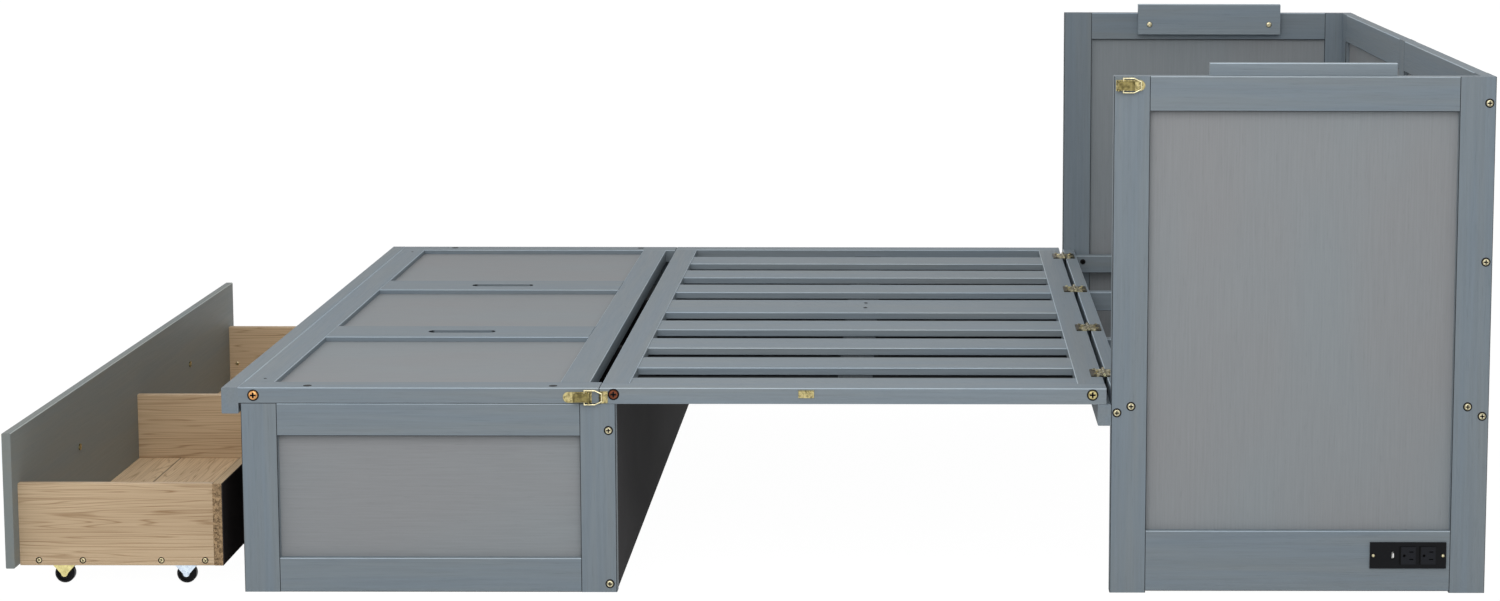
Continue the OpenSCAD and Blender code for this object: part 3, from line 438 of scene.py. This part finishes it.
def oak_grain(f, axis):
    """Colour, roughness and height of oak foil whose grain runs along one axis."""
    p = finishes()
    drift = f.streaks(axis, 0.5, 0.09, detail=2.0, rough=0.5).between(0.4, 0.8)
    wave = f.streaks(axis, 1.6, 0.06, rough=0.5, warp=0.12)
    rings = abs((wave * 34).fraction() - 0.5) * 2
    fine = f.streaks(axis, 0.20, 0.0016).between(0.50, 0.68)
    dark = rings.between(0.66, 0.99) * 0.52 + fine * 0.48 + drift * 0.3
    return f.blend(dark.limited(), tuple(p.oak_light), tuple(p.oak_dark)), 0.5 + 0.12 * rings, 1 - dark * 0.7


def oak_foil(name, axis, light=1.0, planks=False):
    """Oak foil, with the dark seams of its planks where it has them."""
    f = Finish(name)
    colour, rough, height = oak_grain(f, axis)
    colour = f.shade(colour, light)
    if planks:
        cell = ((f.x if axis == "Y" else f.y) / PLANK + SEAM_SHIFT).fraction()
        seam = 1 - abs(cell - 0.5).between(0.004, 0.016)
        colour = f.blend(seam * 0.9, colour, tinted(finishes().oak_dark, 0.25))
        height = height - seam * 2
    return f.surface(colour, rough, normal=f.bump(height, 0.00012), specular=0.35)


def rear_board(name, low, high):
    """The drawer's rear board: oak inside, a dark film outside, and a raw core at its ends."""
    f = Finish(name)
    p = finishes()
    colour, rough, height = oak_grain(f, "Y")
    cells = f.node("ShaderNodeTexVoronoi", {"feature": "F1", "distance": "EUCLIDEAN"}, Vector=f.place,
                   Scale=330.0, Randomness=1.0, output="Color")
    bits = f.node("ShaderNodeSeparateColor", {}, cells, output="Red")
    pits = f.noise(420.0, 3.0, 0.6).between(0.60, 0.68)
    core = f.shade(f.blend(bits, tuple(p.chips), tinted(p.chips, 0.45)), 1 - 0.6 * pits)
    film = f.shade(tuple(p.film), 0.8 + 0.4 * f.noise(9.0, 4.0, 0.6))
    end = abs(f.y - (high.y + low.y) / 2) > (high.y - low.y) / 2 - CORE_DEPTH
    colour = f.blend(f.x > high.x - FILM_DEPTH, f.blend(end, colour, core), film)
    height = height * (1 - end) + end * (bits * 2 - pits * 4)
    return f.surface(colour, rough + 0.3 * end, normal=f.bump(height, 0.0002), specular=0.0)


def worn_and_highlit_metal(name, rgb, rough=0.28, tarnish=0.35, patch=0.006, rim=0.75, painted_highlight=0.55, other=None,
               where=None):
    """Plated metal, tarnished in patches and finely scratched, with painted shade round its rims and a
    painted highlight on its flat faces. It has another colour where the function given says so."""
    f = Finish(name)
    patches = f.noise(1 / patch, 4.0, 0.6).between(0.40, 0.62)
    scratches = f.streaks("X", 0.012, 0.0006, detail=2.0)
    # Painted shade on the faces that are not flat, round the rims
    sides = 1 - f.flat().between(0.80, 0.90)
    # Painted highlight on the flat faces
    light = (1 - tarnish * patches - 0.12 * scratches) * (1 + painted_highlight * f.flat().between(0.93, 0.99))
    plain = f.blend(where(f), tuple(rgb), tuple(other)) if where else tuple(rgb)
    return f.surface(f.shade(plain, light * (1 - rim * sides)), rough + 0.22 * patches + 0.08 * scratches,
                     metallic=1.0, normal=f.bump(scratches + patches, 0.00003))


def moulded_plastic(name, rgb, rough=0.38, grain=1500.0):
    """Moulded plastic with a fine spark-eroded grain."""
    f = Finish(name)
    clouds = f.noise(60.0, 3.0)
    return f.surface(f.shade(tuple(rgb), 0.9 + 0.2 * clouds), rough + 0.12 * clouds,
                     normal=f.bump(f.noise(grain), 0.00003), specular=0.12)


def socket_plastic(name, rgb, low, high):
    """Black plastic; painted shade darkens the sockets' slots and left edges, and their faces stay lighter."""
    f = Finish(name)
    clouds = f.noise(60.0, 3.0)
    second = high.x - SOCKET_WIDTH
    edge = (f.x < low.x + SOCKET_GAP) + (f.x > second) * (f.x < second + SOCKET_GAP)
    # Painted shade: the slots and the gaps at the sockets' left edges
    dark = ((f.y > low.y + SOCKET_SUNK) + edge).limited()
    return f.surface(f.shade(tuple(rgb), (0.9 + 0.2 * clouds) * (2.6 - 2.5 * dark)), 0.38 + 0.12 * clouds,
                     normal=f.bump(f.noise(1500.0), 0.00003), specular=0.12)


def port_plastic(name, rgb, rim_rgb, low, high):
    """Pale plastic inside a dark rim."""
    f = Finish(name)
    centre, half = (low + high) / 2, (high - low) / 2
    across = abs(f.x - centre.x) < half.x - PORT_RIM
    up = abs(f.z - centre.z) < half.z - PORT_RIM
    clouds = f.noise(60.0, 3.0)
    colour = f.shade(f.blend(across * up, tuple(rim_rgb), tuple(rgb)), 0.95 + 0.1 * clouds)
    return f.surface(colour, 0.45 + 0.1 * clouds, specular=0.12)


def give(material, *nodes):
    """Puts a material on CAD nodes."""
    for node in nodes:
        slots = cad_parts[node].data.materials
        if len(slots):
            for i in range(len(slots)):
                slots[i] = material
        else:
            slots.append(material)


def nodes_ending(end):
    return [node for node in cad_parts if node.endswith(end)]


# Screws, and the seats and recesses of painted shade, scattered with geometry nodes


class PointTree:
    """A geometry tree that sets one shape on points, each looking along the point's outward vector. What a
    node gives is written as a pair: the node, and its output's name or number."""

    def __init__(self, name, sizes, seed=None):
        self.tree = bpy.data.node_groups.new(name, "GeometryNodeTree")
        self.socket("Geometry", "Geometry")
        for size, value in sizes.items():
            self.socket(size, "Float").default_value = value
        self.seeded = seed is not None
        if self.seeded:
            self.socket("Seed", "Int").default_value = seed
        self.socket("Material", "Material")
        self.socket("Geometry", "Geometry", "OUTPUT")
        self.start, self.end = self.add("NodeGroupInput"), self.add("NodeGroupOutput")

    def socket(self, name, kind, in_out="INPUT"):
        return self.tree.interface.new_socket(name, in_out=in_out, socket_type=f"NodeSocket{kind}")

    def add(self, kind, settings=None, **inputs):
        made = self.tree.nodes.new(kind)
        for key, value in (settings or {}).items():
            setattr(made, key, value)
        for key, value in inputs.items():
            made.inputs[key.replace("_", " ")].default_value = value
        return made

    def link(self, *links):
        for (source, out), (target, into) in links:
            self.tree.links.new(source.outputs[out], target.inputs[into])

    def size(self, name):
        return self.start, name

    def share(self, name, share):
        """A share of one of the sizes."""
        made = self.add("ShaderNodeMath", {"operation": "MULTIPLY"})
        made.inputs[1].default_value = share
        self.link((self.size(name), (made, 0)))
        return made, 0

    def cross(self, length, width, thickness):
        """Two crossed bars."""
        bars = self.add("GeometryNodeJoinGeometry")
        for x, y in ((length, width), (width, length)):
            size, bar = self.add("ShaderNodeCombineXYZ"), self.add("GeometryNodeMeshCube")
            self.link((x, (size, "X")), (y, (size, "Y")), (thickness, (size, "Z")),
                      ((size, 0), (bar, "Size")), ((bar, "Mesh"), (bars, 0)))
        return bars, 0

    def set_on_points(self, shape):
        """Sets the shape on the points, turned at random where there is a seed, and gives it the material.
        A Random Value node's greatest number is its input 3, and its number comes from output 1."""
        outward = self.add("GeometryNodeInputNamedAttribute", {"data_type": "FLOAT_VECTOR"}, Name="outward")
        turned = self.add("FunctionNodeAlignRotationToVector", {"axis": "Z"})
        self.link(((outward, 0), (turned, "Vector")))
        if self.seeded:
            facing, turned = turned, self.add("FunctionNodeRotateRotation", {"rotation_space": "LOCAL"})
            angle = self.add("FunctionNodeRandomValue", {"data_type": "FLOAT"})
            angle.inputs[3].default_value = HALF_TURN
            spin = self.add("FunctionNodeAxisAngleToRotation", Axis=UP)
            self.link((self.size("Seed"), (angle, "Seed")), ((angle, 1), (spin, "Angle")),
                      ((facing, 0), (turned, "Rotation")), ((spin, 0), (turned, "Rotate By")))
        place, real, skin = (self.add(f"GeometryNode{kind}")
                             for kind in ("InstanceOnPoints", "RealizeInstances", "SetMaterial"))
        self.link((self.size("Geometry"), (place, "Points")), (shape, (place, "Instance")),
                  ((turned, 0), (place, "Rotation")), ((place, 0), (real, 0)), ((real, 0), (skin, 0)),
                  (self.size("Material"), (skin, "Material")), ((skin, 0), (self.end, 0)))
        return self.tree


def screw_tree(name):
    """Cross-head screws: a low cone with a cross cut into it."""
    t = PointTree(name, {"Head diameter": 0.006, "Head height": 0.001, "Recess width": 0.001}, seed=4)
    half, top, arms = (t.share("Head diameter", share) for share in (0.5, SCREW_TOP, SCREW_ARMS))
    height = t.size("Head height")
    head = t.add("GeometryNodeMeshCone", {"fill_type": "NGON"}, Vertices=ROUND_SIDES, Side_Segments=1)
    lift, raised = t.add("ShaderNodeCombineXYZ"), t.add("GeometryNodeTransform")
    cut = t.add("GeometryNodeMeshBoolean", {"operation": "DIFFERENCE"})
    t.link((half, (head, "Radius Bottom")), (top, (head, "Radius Top")), (height, (head, "Depth")),
           (t.cross(arms, t.size("Recess width"), height), (raised, "Geometry")), (height, (lift, "Z")),
           ((lift, 0), (raised, "Translation")), ((head, "Mesh"), (cut, 0)), ((raised, 0), (cut, 1)))
    return t.set_on_points((cut, 0))


def cross_tree(name):
    """Dark crosses of painted shade, which lie on the heads of bolts over their recesses."""
    t = PointTree(name, {"Length": 0.01, "Width": 0.002, "Thickness": RECESS_PLATE})
    return t.set_on_points(t.cross(t.size("Length"), t.size("Width"), t.size("Thickness")))


def seat_tree(name):
    """Thin round discs: seats of painted shade round bolts and screws, and dark dowels and plugs."""
    t = PointTree(name, {"Radius": 0.01, "Thickness": SEAT_PLATE})
    seat = t.add("GeometryNodeMeshCylinder", Vertices=ROUND_SIDES)
    t.link((t.size("Radius"), (seat, "Radius")), (t.size("Thickness"), (seat, "Depth")))
    return t.set_on_points((seat, "Mesh"))


def scattered(name, body, places, tree_name, build, sizes):
    """One mesh on one body, from what a tree sets on points. Each place is a point and the way it faces."""
    tree = bpy.data.node_groups.get(tree_name) or build(tree_name)
    points = bpy.data.meshes.new(name + "_points")
    points.from_pydata([tuple(point) for point, _ in places], [], [])
    facing = points.attributes.new("outward", "FLOAT_VECTOR", "POINT")
    for i, (_, way) in enumerate(places):
        facing.data[i].vector = way
    holder = bpy.data.objects.new(name + "_points", points)
    bpy.context.scene.collection.objects.link(holder)
    scatter = holder.modifiers.new("Scatter", "NODES")
    scatter.node_group = tree
    for item in tree.interface.items_tree:
        if item.in_out == "INPUT" and item.name in sizes:
            scatter[item.identifier] = sizes[item.name]
    graph = bpy.context.evaluated_depsgraph_get()
    mesh = bpy.data.meshes.new_from_object(holder.evaluated_get(graph))
    holder.modifiers.remove(scatter)
    bpy.data.objects.remove(holder)
    if not len(mesh.polygons):
        raise RuntimeError(f"{name} is empty")
    piece = bpy.data.objects.new(name, mesh)
    bpy.context.scene.collection.objects.link(piece)
    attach(piece, body)


def screws(name, body, places, diameter, height, material):
    scattered(name, body, places, "Cross-head screws", screw_tree,
              {"Head diameter": diameter, "Head height": height, "Recess width": diameter * SCREW_RECESS,
               "Seed": hardware().seed, "Material": bpy.data.materials[material]})


# Dark discs: rings of painted shade round bolts and screws, and the dark dowels and plugs
def seats(name, body, places, radius):
    scattered(name, body, places, "Bolt seats", seat_tree,
              {"Radius": radius, "Thickness": SEAT_PLATE, "Material": bpy.data.materials["bolt_seat"]})


# Dark crosses of painted shade over the recesses of bolts and screws
def recesses(name, body, places, length, width):
    scattered(name, body, places, "Cross recesses", cross_tree,
              {"Length": length, "Width": width, "Thickness": RECESS_PLATE,
               "Material": bpy.data.materials["bolt_seat"]})


def on_both_sides(places, way=1):
    """Places on the far side and their like on the near side, facing outwards, or inwards where way is -1."""
    return [(Vector((x, side * y, z)), (0, side * way, 0)) for side in (NEAR, FAR) for x, y, z in places]


def solid_boxes(node):
    """The lowest and highest corner of each solid of a node."""
    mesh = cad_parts[node].data
    solid_of = {}
    for face in mesh.polygons:
        corners = [tuple(round(c, 6) for c in mesh.vertices[i].co) for i in face.vertices]
        joined = {id(solid_of[c]): solid_of[c] for c in corners if c in solid_of}
        merged = set(corners).union(*joined.values())
        for corner in merged:
            solid_of[corner] = merged
    solids = {id(points): points for points in solid_of.values()}
    return sorted((tuple(min(p[i] for p in points) for i in range(3)),
                   tuple(max(p[i] for p in points) for i in range(3))) for points in solids.values())


def bolt_places(node):
    """The radius of each bolt head of a node, its centre on the side face under it, and its way out."""
    places = []
    for low, high in solid_boxes(node):
        low, high = Vector(low), Vector(high)
        side = FAR if high.y + low.y > 0 else NEAR
        face = (high.y if side == FAR else low.y) - side * hardware().bolt_head
        places.append(((high.x - low.x) / 2, Vector(((low.x + high.x) / 2, face, (low.z + high.z) / 2)),
                       (0, side, 0)))
    return places


# Operators


class WallBedPaintFrames(bpy.types.Operator):
    """Paint the frames, rails, slats and front boards, each along its own grain"""

    bl_idname = "wall_bed.paint_frames"
    bl_label = "Paint the frames"

    def execute(self, context):
        rgb = tuple(finishes().paint)
        give(brushed_paint("paint_along", "X", rgb), "side_rails", "box_rails", "lid_side_rails",
             "head_ledgers", "head_joists", "lid_dividers")
        # Painted light: slats and cleats are the frames' paint made lighter, and lower above 1 lights their
        # lower edges
        give(brushed_paint("paint_slats", "X", tinted(rgb, 1.08), lower=1.5), "slats", "slat_side_rails")
        give(brushed_paint("paint_cleats", "X", tinted(rgb, 1.2), lower=1.2), "top_cleats")
        give(brushed_paint("paint_across", "Y", rgb), "back_rails", "front_rail", "front_ledge", "head_slats",
             "slat_end_boards", "lid_end_boards", "lid_batten")
        # The cross brace's top, seen in the slits between the slats, is darkened as painted shade
        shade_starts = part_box("cross_brace")[0].z + BRACE_UNSHADED
        give(brushed_paint("paint_brace", "Y", rgb, shaded_above=shade_starts), "cross_brace")
        give(brushed_paint("paint_upright", "Z", rgb), "side_stiles", "back_stiles", "box_stiles")
        give(brushed_paint("paint_front", "Y", tinted(rgb, *FRONT_TINT), fine=0.45), "drawer_front")
        return {"FINISHED"}


class WallBedPaintPanels(bpy.types.Operator):
    """Paint the plywood panels and coat the inner boards"""

    bl_idname = "wall_bed.paint_panels"
    bl_label = "Paint the panels"

    def execute(self, context):
        rgb = tuple(finishes().panel)
        give(panel_paint("panel_upright", "Z", rgb), "side_panels", "back_panels")
        give(panel_paint("panel_along", "X", rgb), "box_panels", "lid_panels")
        # The slat panels' tops, seen in the slits between the slats, are darkened as painted shade
        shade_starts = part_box("slat_panels")[0].z + PANELS_UNSHADED
        give(panel_paint("panel_underside", "X", rgb, shaded_above=shade_starts), "slat_panels")
        give(dark_coating("dark_coating", "Y"), "box_rear_panel", "box_partitions")
        return {"FINISHED"}


class WallBedDrawerWood(bpy.types.Operator):
    """Give the drawer its oak foil, the planks of its bottom and the raw ends of its rear board"""

    bl_idname = "wall_bed.drawer_wood"
    bl_label = "Finish the drawer"

    def execute(self, context):
        give(oak_foil("oak_sides", "X"), "drawer_sides")
        give(oak_foil("oak_bottom", "Y", light=1.32, planks=True), "drawer_bottom")
        give(rear_board("oak_rear", *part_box("drawer_back")), "drawer_back")
        return {"FINISHED"}


class WallBedMetal(bpy.types.Operator):
    """Plate the hinges, latches, bolts, screws and casters"""

    bl_idname = "wall_bed.metal"
    bl_label = "Plate the metal"

    def execute(self, context):
        p, h = finishes(), hardware()
        give(worn_and_highlit_metal("brass", p.brass, 0.25, 0.55, 0.004), "drawer_knobs", "latch_strikes",
             "cabinet_latch_bases", "lid_latch_bases")
        free_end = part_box("lid_batten")[1].x + BRIGHT_REACH
        give(worn_and_highlit_metal("screw_brass", p.screw_brass, 0.2, 0.45, 0.004, painted_highlight=0.8, other=p.orange,
                        where=lambda f: f.x < free_end), "cabinet_screws", "cleat_screws", "box_screws")
        give(worn_and_highlit_metal("olive_brass", p.olive, 0.3, 0.5, 0.008), *nodes_ending("latch_lever"))
        give(worn_and_highlit_metal("pale_brass", p.pale_brass, 0.2, 0.3, rim=0.0), "hinge_pins",
             *nodes_ending("latch_loop"))
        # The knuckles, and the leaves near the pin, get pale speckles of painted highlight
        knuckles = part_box("hinge_fixed_leaves")[0].z + h.hinge_plate * KNUCKLES_START
        pin_x, lit_reach = middle("hinge_pins").x, h.hinge_leaf * HIGHLIGHT_REACH

        def knuckle_highlights(f):
            # Pale speckles of painted highlight on the knuckles and near the pin
            worn = ((f.z > knuckles) + (abs(f.x - pin_x) < lit_reach)).limited()
            return worn * f.noise(190.0).between(0.46, 0.56)

        give(worn_and_highlit_metal("bronze", p.bronze, 0.34, 0.6, 0.004, rim=0.3, painted_highlight=0.0, other=p.pale_brass,
                        where=knuckle_highlights), "hinge_fixed_leaves", "hinge_moving_leaves")
        bolts_middle, casters_middle = middle("slat_bolts").x, middle("caster_brackets").x
        give(worn_and_highlit_metal("copper", p.copper, 0.3, 0.45, other=p.brass, where=lambda f: f.x > bolts_middle),
             "slat_bolts")
        give(worn_and_highlit_metal("zinc", p.yellow_zinc, 0.22, 0.2, other=p.zinc, where=lambda f: f.x > casters_middle),
             "caster_brackets", "caster_axles")
        return {"FINISHED"}


class WallBedPlastic(bpy.types.Operator):
    """Finish the outlet, its USB port and the caster wheels"""

    bl_idname = "wall_bed.plastic"
    bl_label = "Finish the plastic"

    def execute(self, context):
        p = finishes()
        give(moulded_plastic("outlet_plastic", p.plastic), "power_plate", "power_box")
        give(socket_plastic("socket_plastic", p.plastic, *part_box("power_sockets")), "power_sockets")
        give(port_plastic("usb_plastic", p.usb, p.plastic, *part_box("usb_port")), "usb_port")
        give(moulded_plastic("wheel_nylon", tinted(p.plastic, 0.8), 0.3, 700.0), *nodes_ending("_wheel"))
        return {"FINISHED"}


class WallBedBoltShade(bpy.types.Operator):
    """Set each bolt in a thin dark seat of painted shade, and darken its cross recess with painted shade"""

    bl_idname = "wall_bed.bolt_seats"
    bl_label = "Seat the bolts"

    def execute(self, context):
        h = hardware()
        # Dark plastic: painted shade round and in the bolts, and the colour of the dowels and plugs
        moulded_plastic("bolt_seat", finishes().plastic, 0.5)
        for node, body in (("cabinet_screws", "cabinet"), ("cleat_screws", "cabinet"),
                           ("slat_bolts", "slat_section"), ("box_screws", "foot_box")):
            found = bolt_places(node)
            for number, radius in enumerate(sorted({round(r, 4) for r, _, _ in found})):
                places = [(point, way) for r, point, way in found if round(r, 4) == radius]
                # A ring of painted shade round each bolt head
                seats(f"{node}_seats_{number}", body, places, radius + h.bolt_seat)
                # A cross of painted shade on the recess of each larger bolt
                if radius >= SMALL_HEAD:
                    height = h.bolt_head - RECESS_SUNK
                    tops = [(point + Vector(way) * height, way) for point, way in places]
                    recesses(f"{node}_recesses_{number}", body, tops, radius * BOLT_ARMS,
                             2 * radius * h.recess)
        return {"FINISHED"}


class WallBedHingeScrews(bpy.types.Operator):
    """Add three screws to each leaf of the four hinges"""

    bl_idname = "wall_bed.hinge_screws"
    bl_label = "Add the hinge screws"

    def execute(self, context):
        h = hardware()
        pin_x = middle("hinge_pins").x
        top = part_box("hinge_fixed_leaves")[0].z + h.hinge_plate
        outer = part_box("hinge_fixed_leaves")[1].y - h.hinge_half
        # Painted highlight: the hinge screws are pale brass with little tarnish
        worn_and_highlit_metal("rubbed_brass", finishes().pale_brass, 0.2, 0.1, rim=0.0, painted_highlight=0.5)
        for name, body, side in (("hinge_fixed_screws", "cabinet", 1),
                                 ("hinge_moving_screws", "slat_section", -1)):
            places = [(Vector((pin_x + side * h.hinge_leaf * reach, centre + step * h.hinge_half, top)), UP)
                      for centre in (-outer, -outer / 3, outer / 3, outer) for step, reach in HINGE_SCREWS]
            screws(name, body, places, h.hinge_screw, h.hinge_screw * HINGE_HEAD, "rubbed_brass")
        return {"FINISHED"}


class WallBedLatchScrews(bpy.types.Operator):
    """Add the screws that hold the latches and their strikes"""

    bl_idname = "wall_bed.latch_screws"
    bl_label = "Add the latch screws"

    def execute(self, context):
        size = hardware().latch_screw
        height = size * LATCH_HEAD
        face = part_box("lid_side_rails")[1].y + LATCH_PLATE
        lid_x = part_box("lid_latch_bases")[0].x + BASE_SCREW
        cabinet_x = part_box("cabinet_latch_bases")[1].x - BASE_SCREW
        for node, body, x in (("lid_latch_bases", "foot_box", lid_x),
                              ("cabinet_latch_bases", "cabinet", cabinet_x)):
            places = on_both_sides([(x, face, middle(node).z)])
            screws(f"{node}_screws", body, places, size, height, "brass")
        low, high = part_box("latch_strikes")
        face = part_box("slat_side_rails")[1].y + LATCH_PLATE
        lid_z = middle("lid_latch_bases").z
        places = []
        for step in (-1, 1):
            places += [(low.x + LID_STRIKE_IN, face, lid_z + step * LID_STRIKE_HALF),
                       (high.x - FOLD_STRIKE_IN + step * FOLD_STRIKE_HALF, face, high.z - FOLD_STRIKE_DOWN)]
        screws("latch_strikes_screws", "slat_section", on_both_sides(places), size, height, "brass")
        return {"FINISHED"}


class WallBedWoodScrews(bpy.types.Operator):
    """Add the drawer's screws, the slat screws, the ledger bolts, and the lid's dowels and plugs"""

    bl_idname = "wall_bed.wood_screws"
    bl_label = "Add the wood screws"

    def execute(self, context):
        h = hardware()
        low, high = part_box("drawer_sides")
        axles = [middle(f"near_{end}_wheel").x for end in ("front", "rear")]
        places = on_both_sides([(x + step, high.y, low.z + CASTER_SCREW_UP)
                                for x in axles for step in (-CASTER_SCREW_STEP, CASTER_SCREW_STEP)])
        screws("caster_side_screws", "drawer", places, h.caster_screw, WOOD_HEAD, "brass")
        # A ring of painted shade round each caster screw
        seats("caster_screw_seats", "drawer", places, h.caster_screw / 2 + h.bolt_seat * CASTER_RING)
        places = on_both_sides([(low.x + SIDE_SCREW_IN, high.y - SIDE_BOARD, low.z + SIDE_SCREW_UP)], way=-1)
        screws("drawer_side_screws", "drawer", places, h.caster_screw, WOOD_HEAD, "brass")

        x, top = middle("slats").x + SLAT_SCREW_ALONG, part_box("slats")[1].z
        places = [(Vector((x, y, top)), UP) for y in SLAT_SCREWS_ACROSS]
        screws("slat_screws", "slat_section", places, h.slat_screw, SLAT_HEAD, "paint_along")
        # A cross of painted shade on each slat screw's recess
        tops = [(point + Vector(UP) * SLAT_HEAD, way) for point, way in places]
        recesses("slat_screw_recesses", "slat_section", tops, *(h.slat_screw * share for share in SLAT_ARMS))

        low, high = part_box("head_ledgers")
        along, inwards, up = LEDGER_BOLT
        places = on_both_sides([(low.x + along, high.y - inwards, low.z + up)], way=-1)
        screws("ledger_bolts", "cabinet", places, h.ledger_bolt, LEDGER_HEAD, "dark_coating")

        for name, body, board, size, spots in (
                ("lid_dowels", "foot_box", "lid_side_rails", h.dowel, LID_DOWELS),
                ("lid_plugs", "foot_box", "lid_side_rails", h.plug, LID_PLUGS),
                ("slat_plugs", "slat_section", "slat_end_boards", h.plug, SLAT_PLUGS)):
            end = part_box(board)[1]
            places = [(Vector((x, side * (end.y - inwards), end.z)), UP) for x, inwards in spots
                      for side in (NEAR, FAR)]
            seats(name, body, places, size / 2)
        return {"FINISHED"}


class WallBedSetStudio(bpy.types.Operator):
    """Add the white floor, the even light and the camera"""

    bl_idname = "wall_bed.set_studio"
    bl_label = "Set the studio"

    def execute(self, context):
        self.add_world(context.scene)
        self.add_floor(context.scene)
        self.add_lamps(context.scene)
        self.add_camera(context.scene)
        context.scene.view_settings.view_transform = "Standard"
        return {"FINISHED"}

    def add_world(self, scene):
        """Even light on the object, and white where the camera sees past it."""
        scene.world = bpy.data.worlds.new("white_room")
        scene.world.use_nodes = True
        w = Nodes(scene.world.node_tree)
        strength = w.shown() * (1 - studio().sky) + studio().sky
        sky = w.node("ShaderNodeBackground", {}, Color=(1, 1, 1), Strength=strength)
        w.close("ShaderNodeOutputWorld", sky)

    def add_floor(self, scene):
        """A floor that throws light back up and that the camera sees nearly white, with a faint shadow."""
        s = studio()
        f = Finish("studio_floor")
        seen = f.shown()
        tone = 0.99 + 0.02 * f.noise(0.6)
        white = seen * (s.floor_shade - s.floor_white) + s.floor_white
        matt = f.node("ShaderNodeBsdfDiffuse", {}, Color=f.shade((1, 1, 1), white * tone))
        glow = f.node("ShaderNodeEmission", {}, Color=(1, 1, 1), Strength=seen * s.floor_glow)
        f.close("ShaderNodeOutputMaterial", f.node("ShaderNodeAddShader", {}, matt, glow))
        corners = [(x * FLOOR_HALF, y * FLOOR_HALF, 0) for x, y in ((-1, -1), (1, -1), (1, 1), (-1, 1))]
        mesh = bpy.data.meshes.new("studio_floor")
        mesh.from_pydata(corners, [], [(0, 1, 2, 3)])
        mesh.materials.append(f.material)
        floor = bpy.data.objects.new("studio_floor", mesh)
        scene.collection.objects.link(floor)

    def add_lamps(self, scene):
        """Large soft lamps that point at the bed's middle."""
        centre = (cad_low + cad_high) / 2
        for name, power, place, across in LAMPS:
            lamp = bpy.data.lights.new(name, "AREA")
            lamp.shape, lamp.size, lamp.energy = "SQUARE", across, getattr(studio(), power)
            holder = bpy.data.objects.new(name, lamp)
            holder.location = place
            holder.rotation_euler = (centre - Vector(place)).to_track_quat("-Z", "Y").to_euler()
            scene.collection.objects.link(holder)

    def add_camera(self, scene):
        s = studio()
        view = bpy.data.cameras.new("camera")
        view.sensor_width, view.lens = SENSOR, s.lens
        view.shift_x, view.shift_y = SHIFT
        view.clip_start, view.clip_end = CLIP
        camera = bpy.data.objects.new("camera", view)
        camera.location, camera.rotation_euler = s.place, s.turn
        scene.collection.objects.link(camera)
        scene.camera = camera


STEPS = (WallBedPaintFrames, WallBedPaintPanels, WallBedDrawerWood, WallBedMetal, WallBedPlastic,
         WallBedBoltShade, WallBedHingeScrews, WallBedLatchScrews, WallBedWoodScrews, WallBedSetStudio)
GROUPS = (("wall_bed_finishes", WallBedFinishes), ("wall_bed_hardware", WallBedHardware),
          ("wall_bed_studio", WallBedStudio))


class WallBedPanel(bpy.types.Panel):
    """Lists the steps that dress the bed, with their sizes and colours"""

    bl_idname = "VIEW3D_PT_wall_bed"
    bl_label = "Wall Bed"
    bl_space_type = "VIEW_3D"
    bl_region_type = "UI"
    bl_category = "Wall Bed"

    def draw(self, context):
        for group, _ in GROUPS:
            values = getattr(context.scene, group)
            box = self.layout.box()
            for name in values.__annotations__:
                box.prop(values, name)
        for step in STEPS:
            self.layout.operator(step.bl_idname)


def register():
    for name, group in GROUPS:
        bpy.utils.register_class(group)
        setattr(bpy.types.Scene, name, PointerProperty(type=group))
    for step in (*STEPS, WallBedPanel):
        bpy.utils.register_class(step)


def unregister():
    for step in reversed((*STEPS, WallBedPanel)):
        bpy.utils.unregister_class(step)
    for name, group in reversed(GROUPS):
        delattr(bpy.types.Scene, name)
        bpy.utils.unregister_class(group)


def main():
    register()
    for step in STEPS:
        group, call = step.bl_idname.split(".")
        getattr(getattr(bpy.ops, group), call)()


if __name__ == "__main__":
    main()
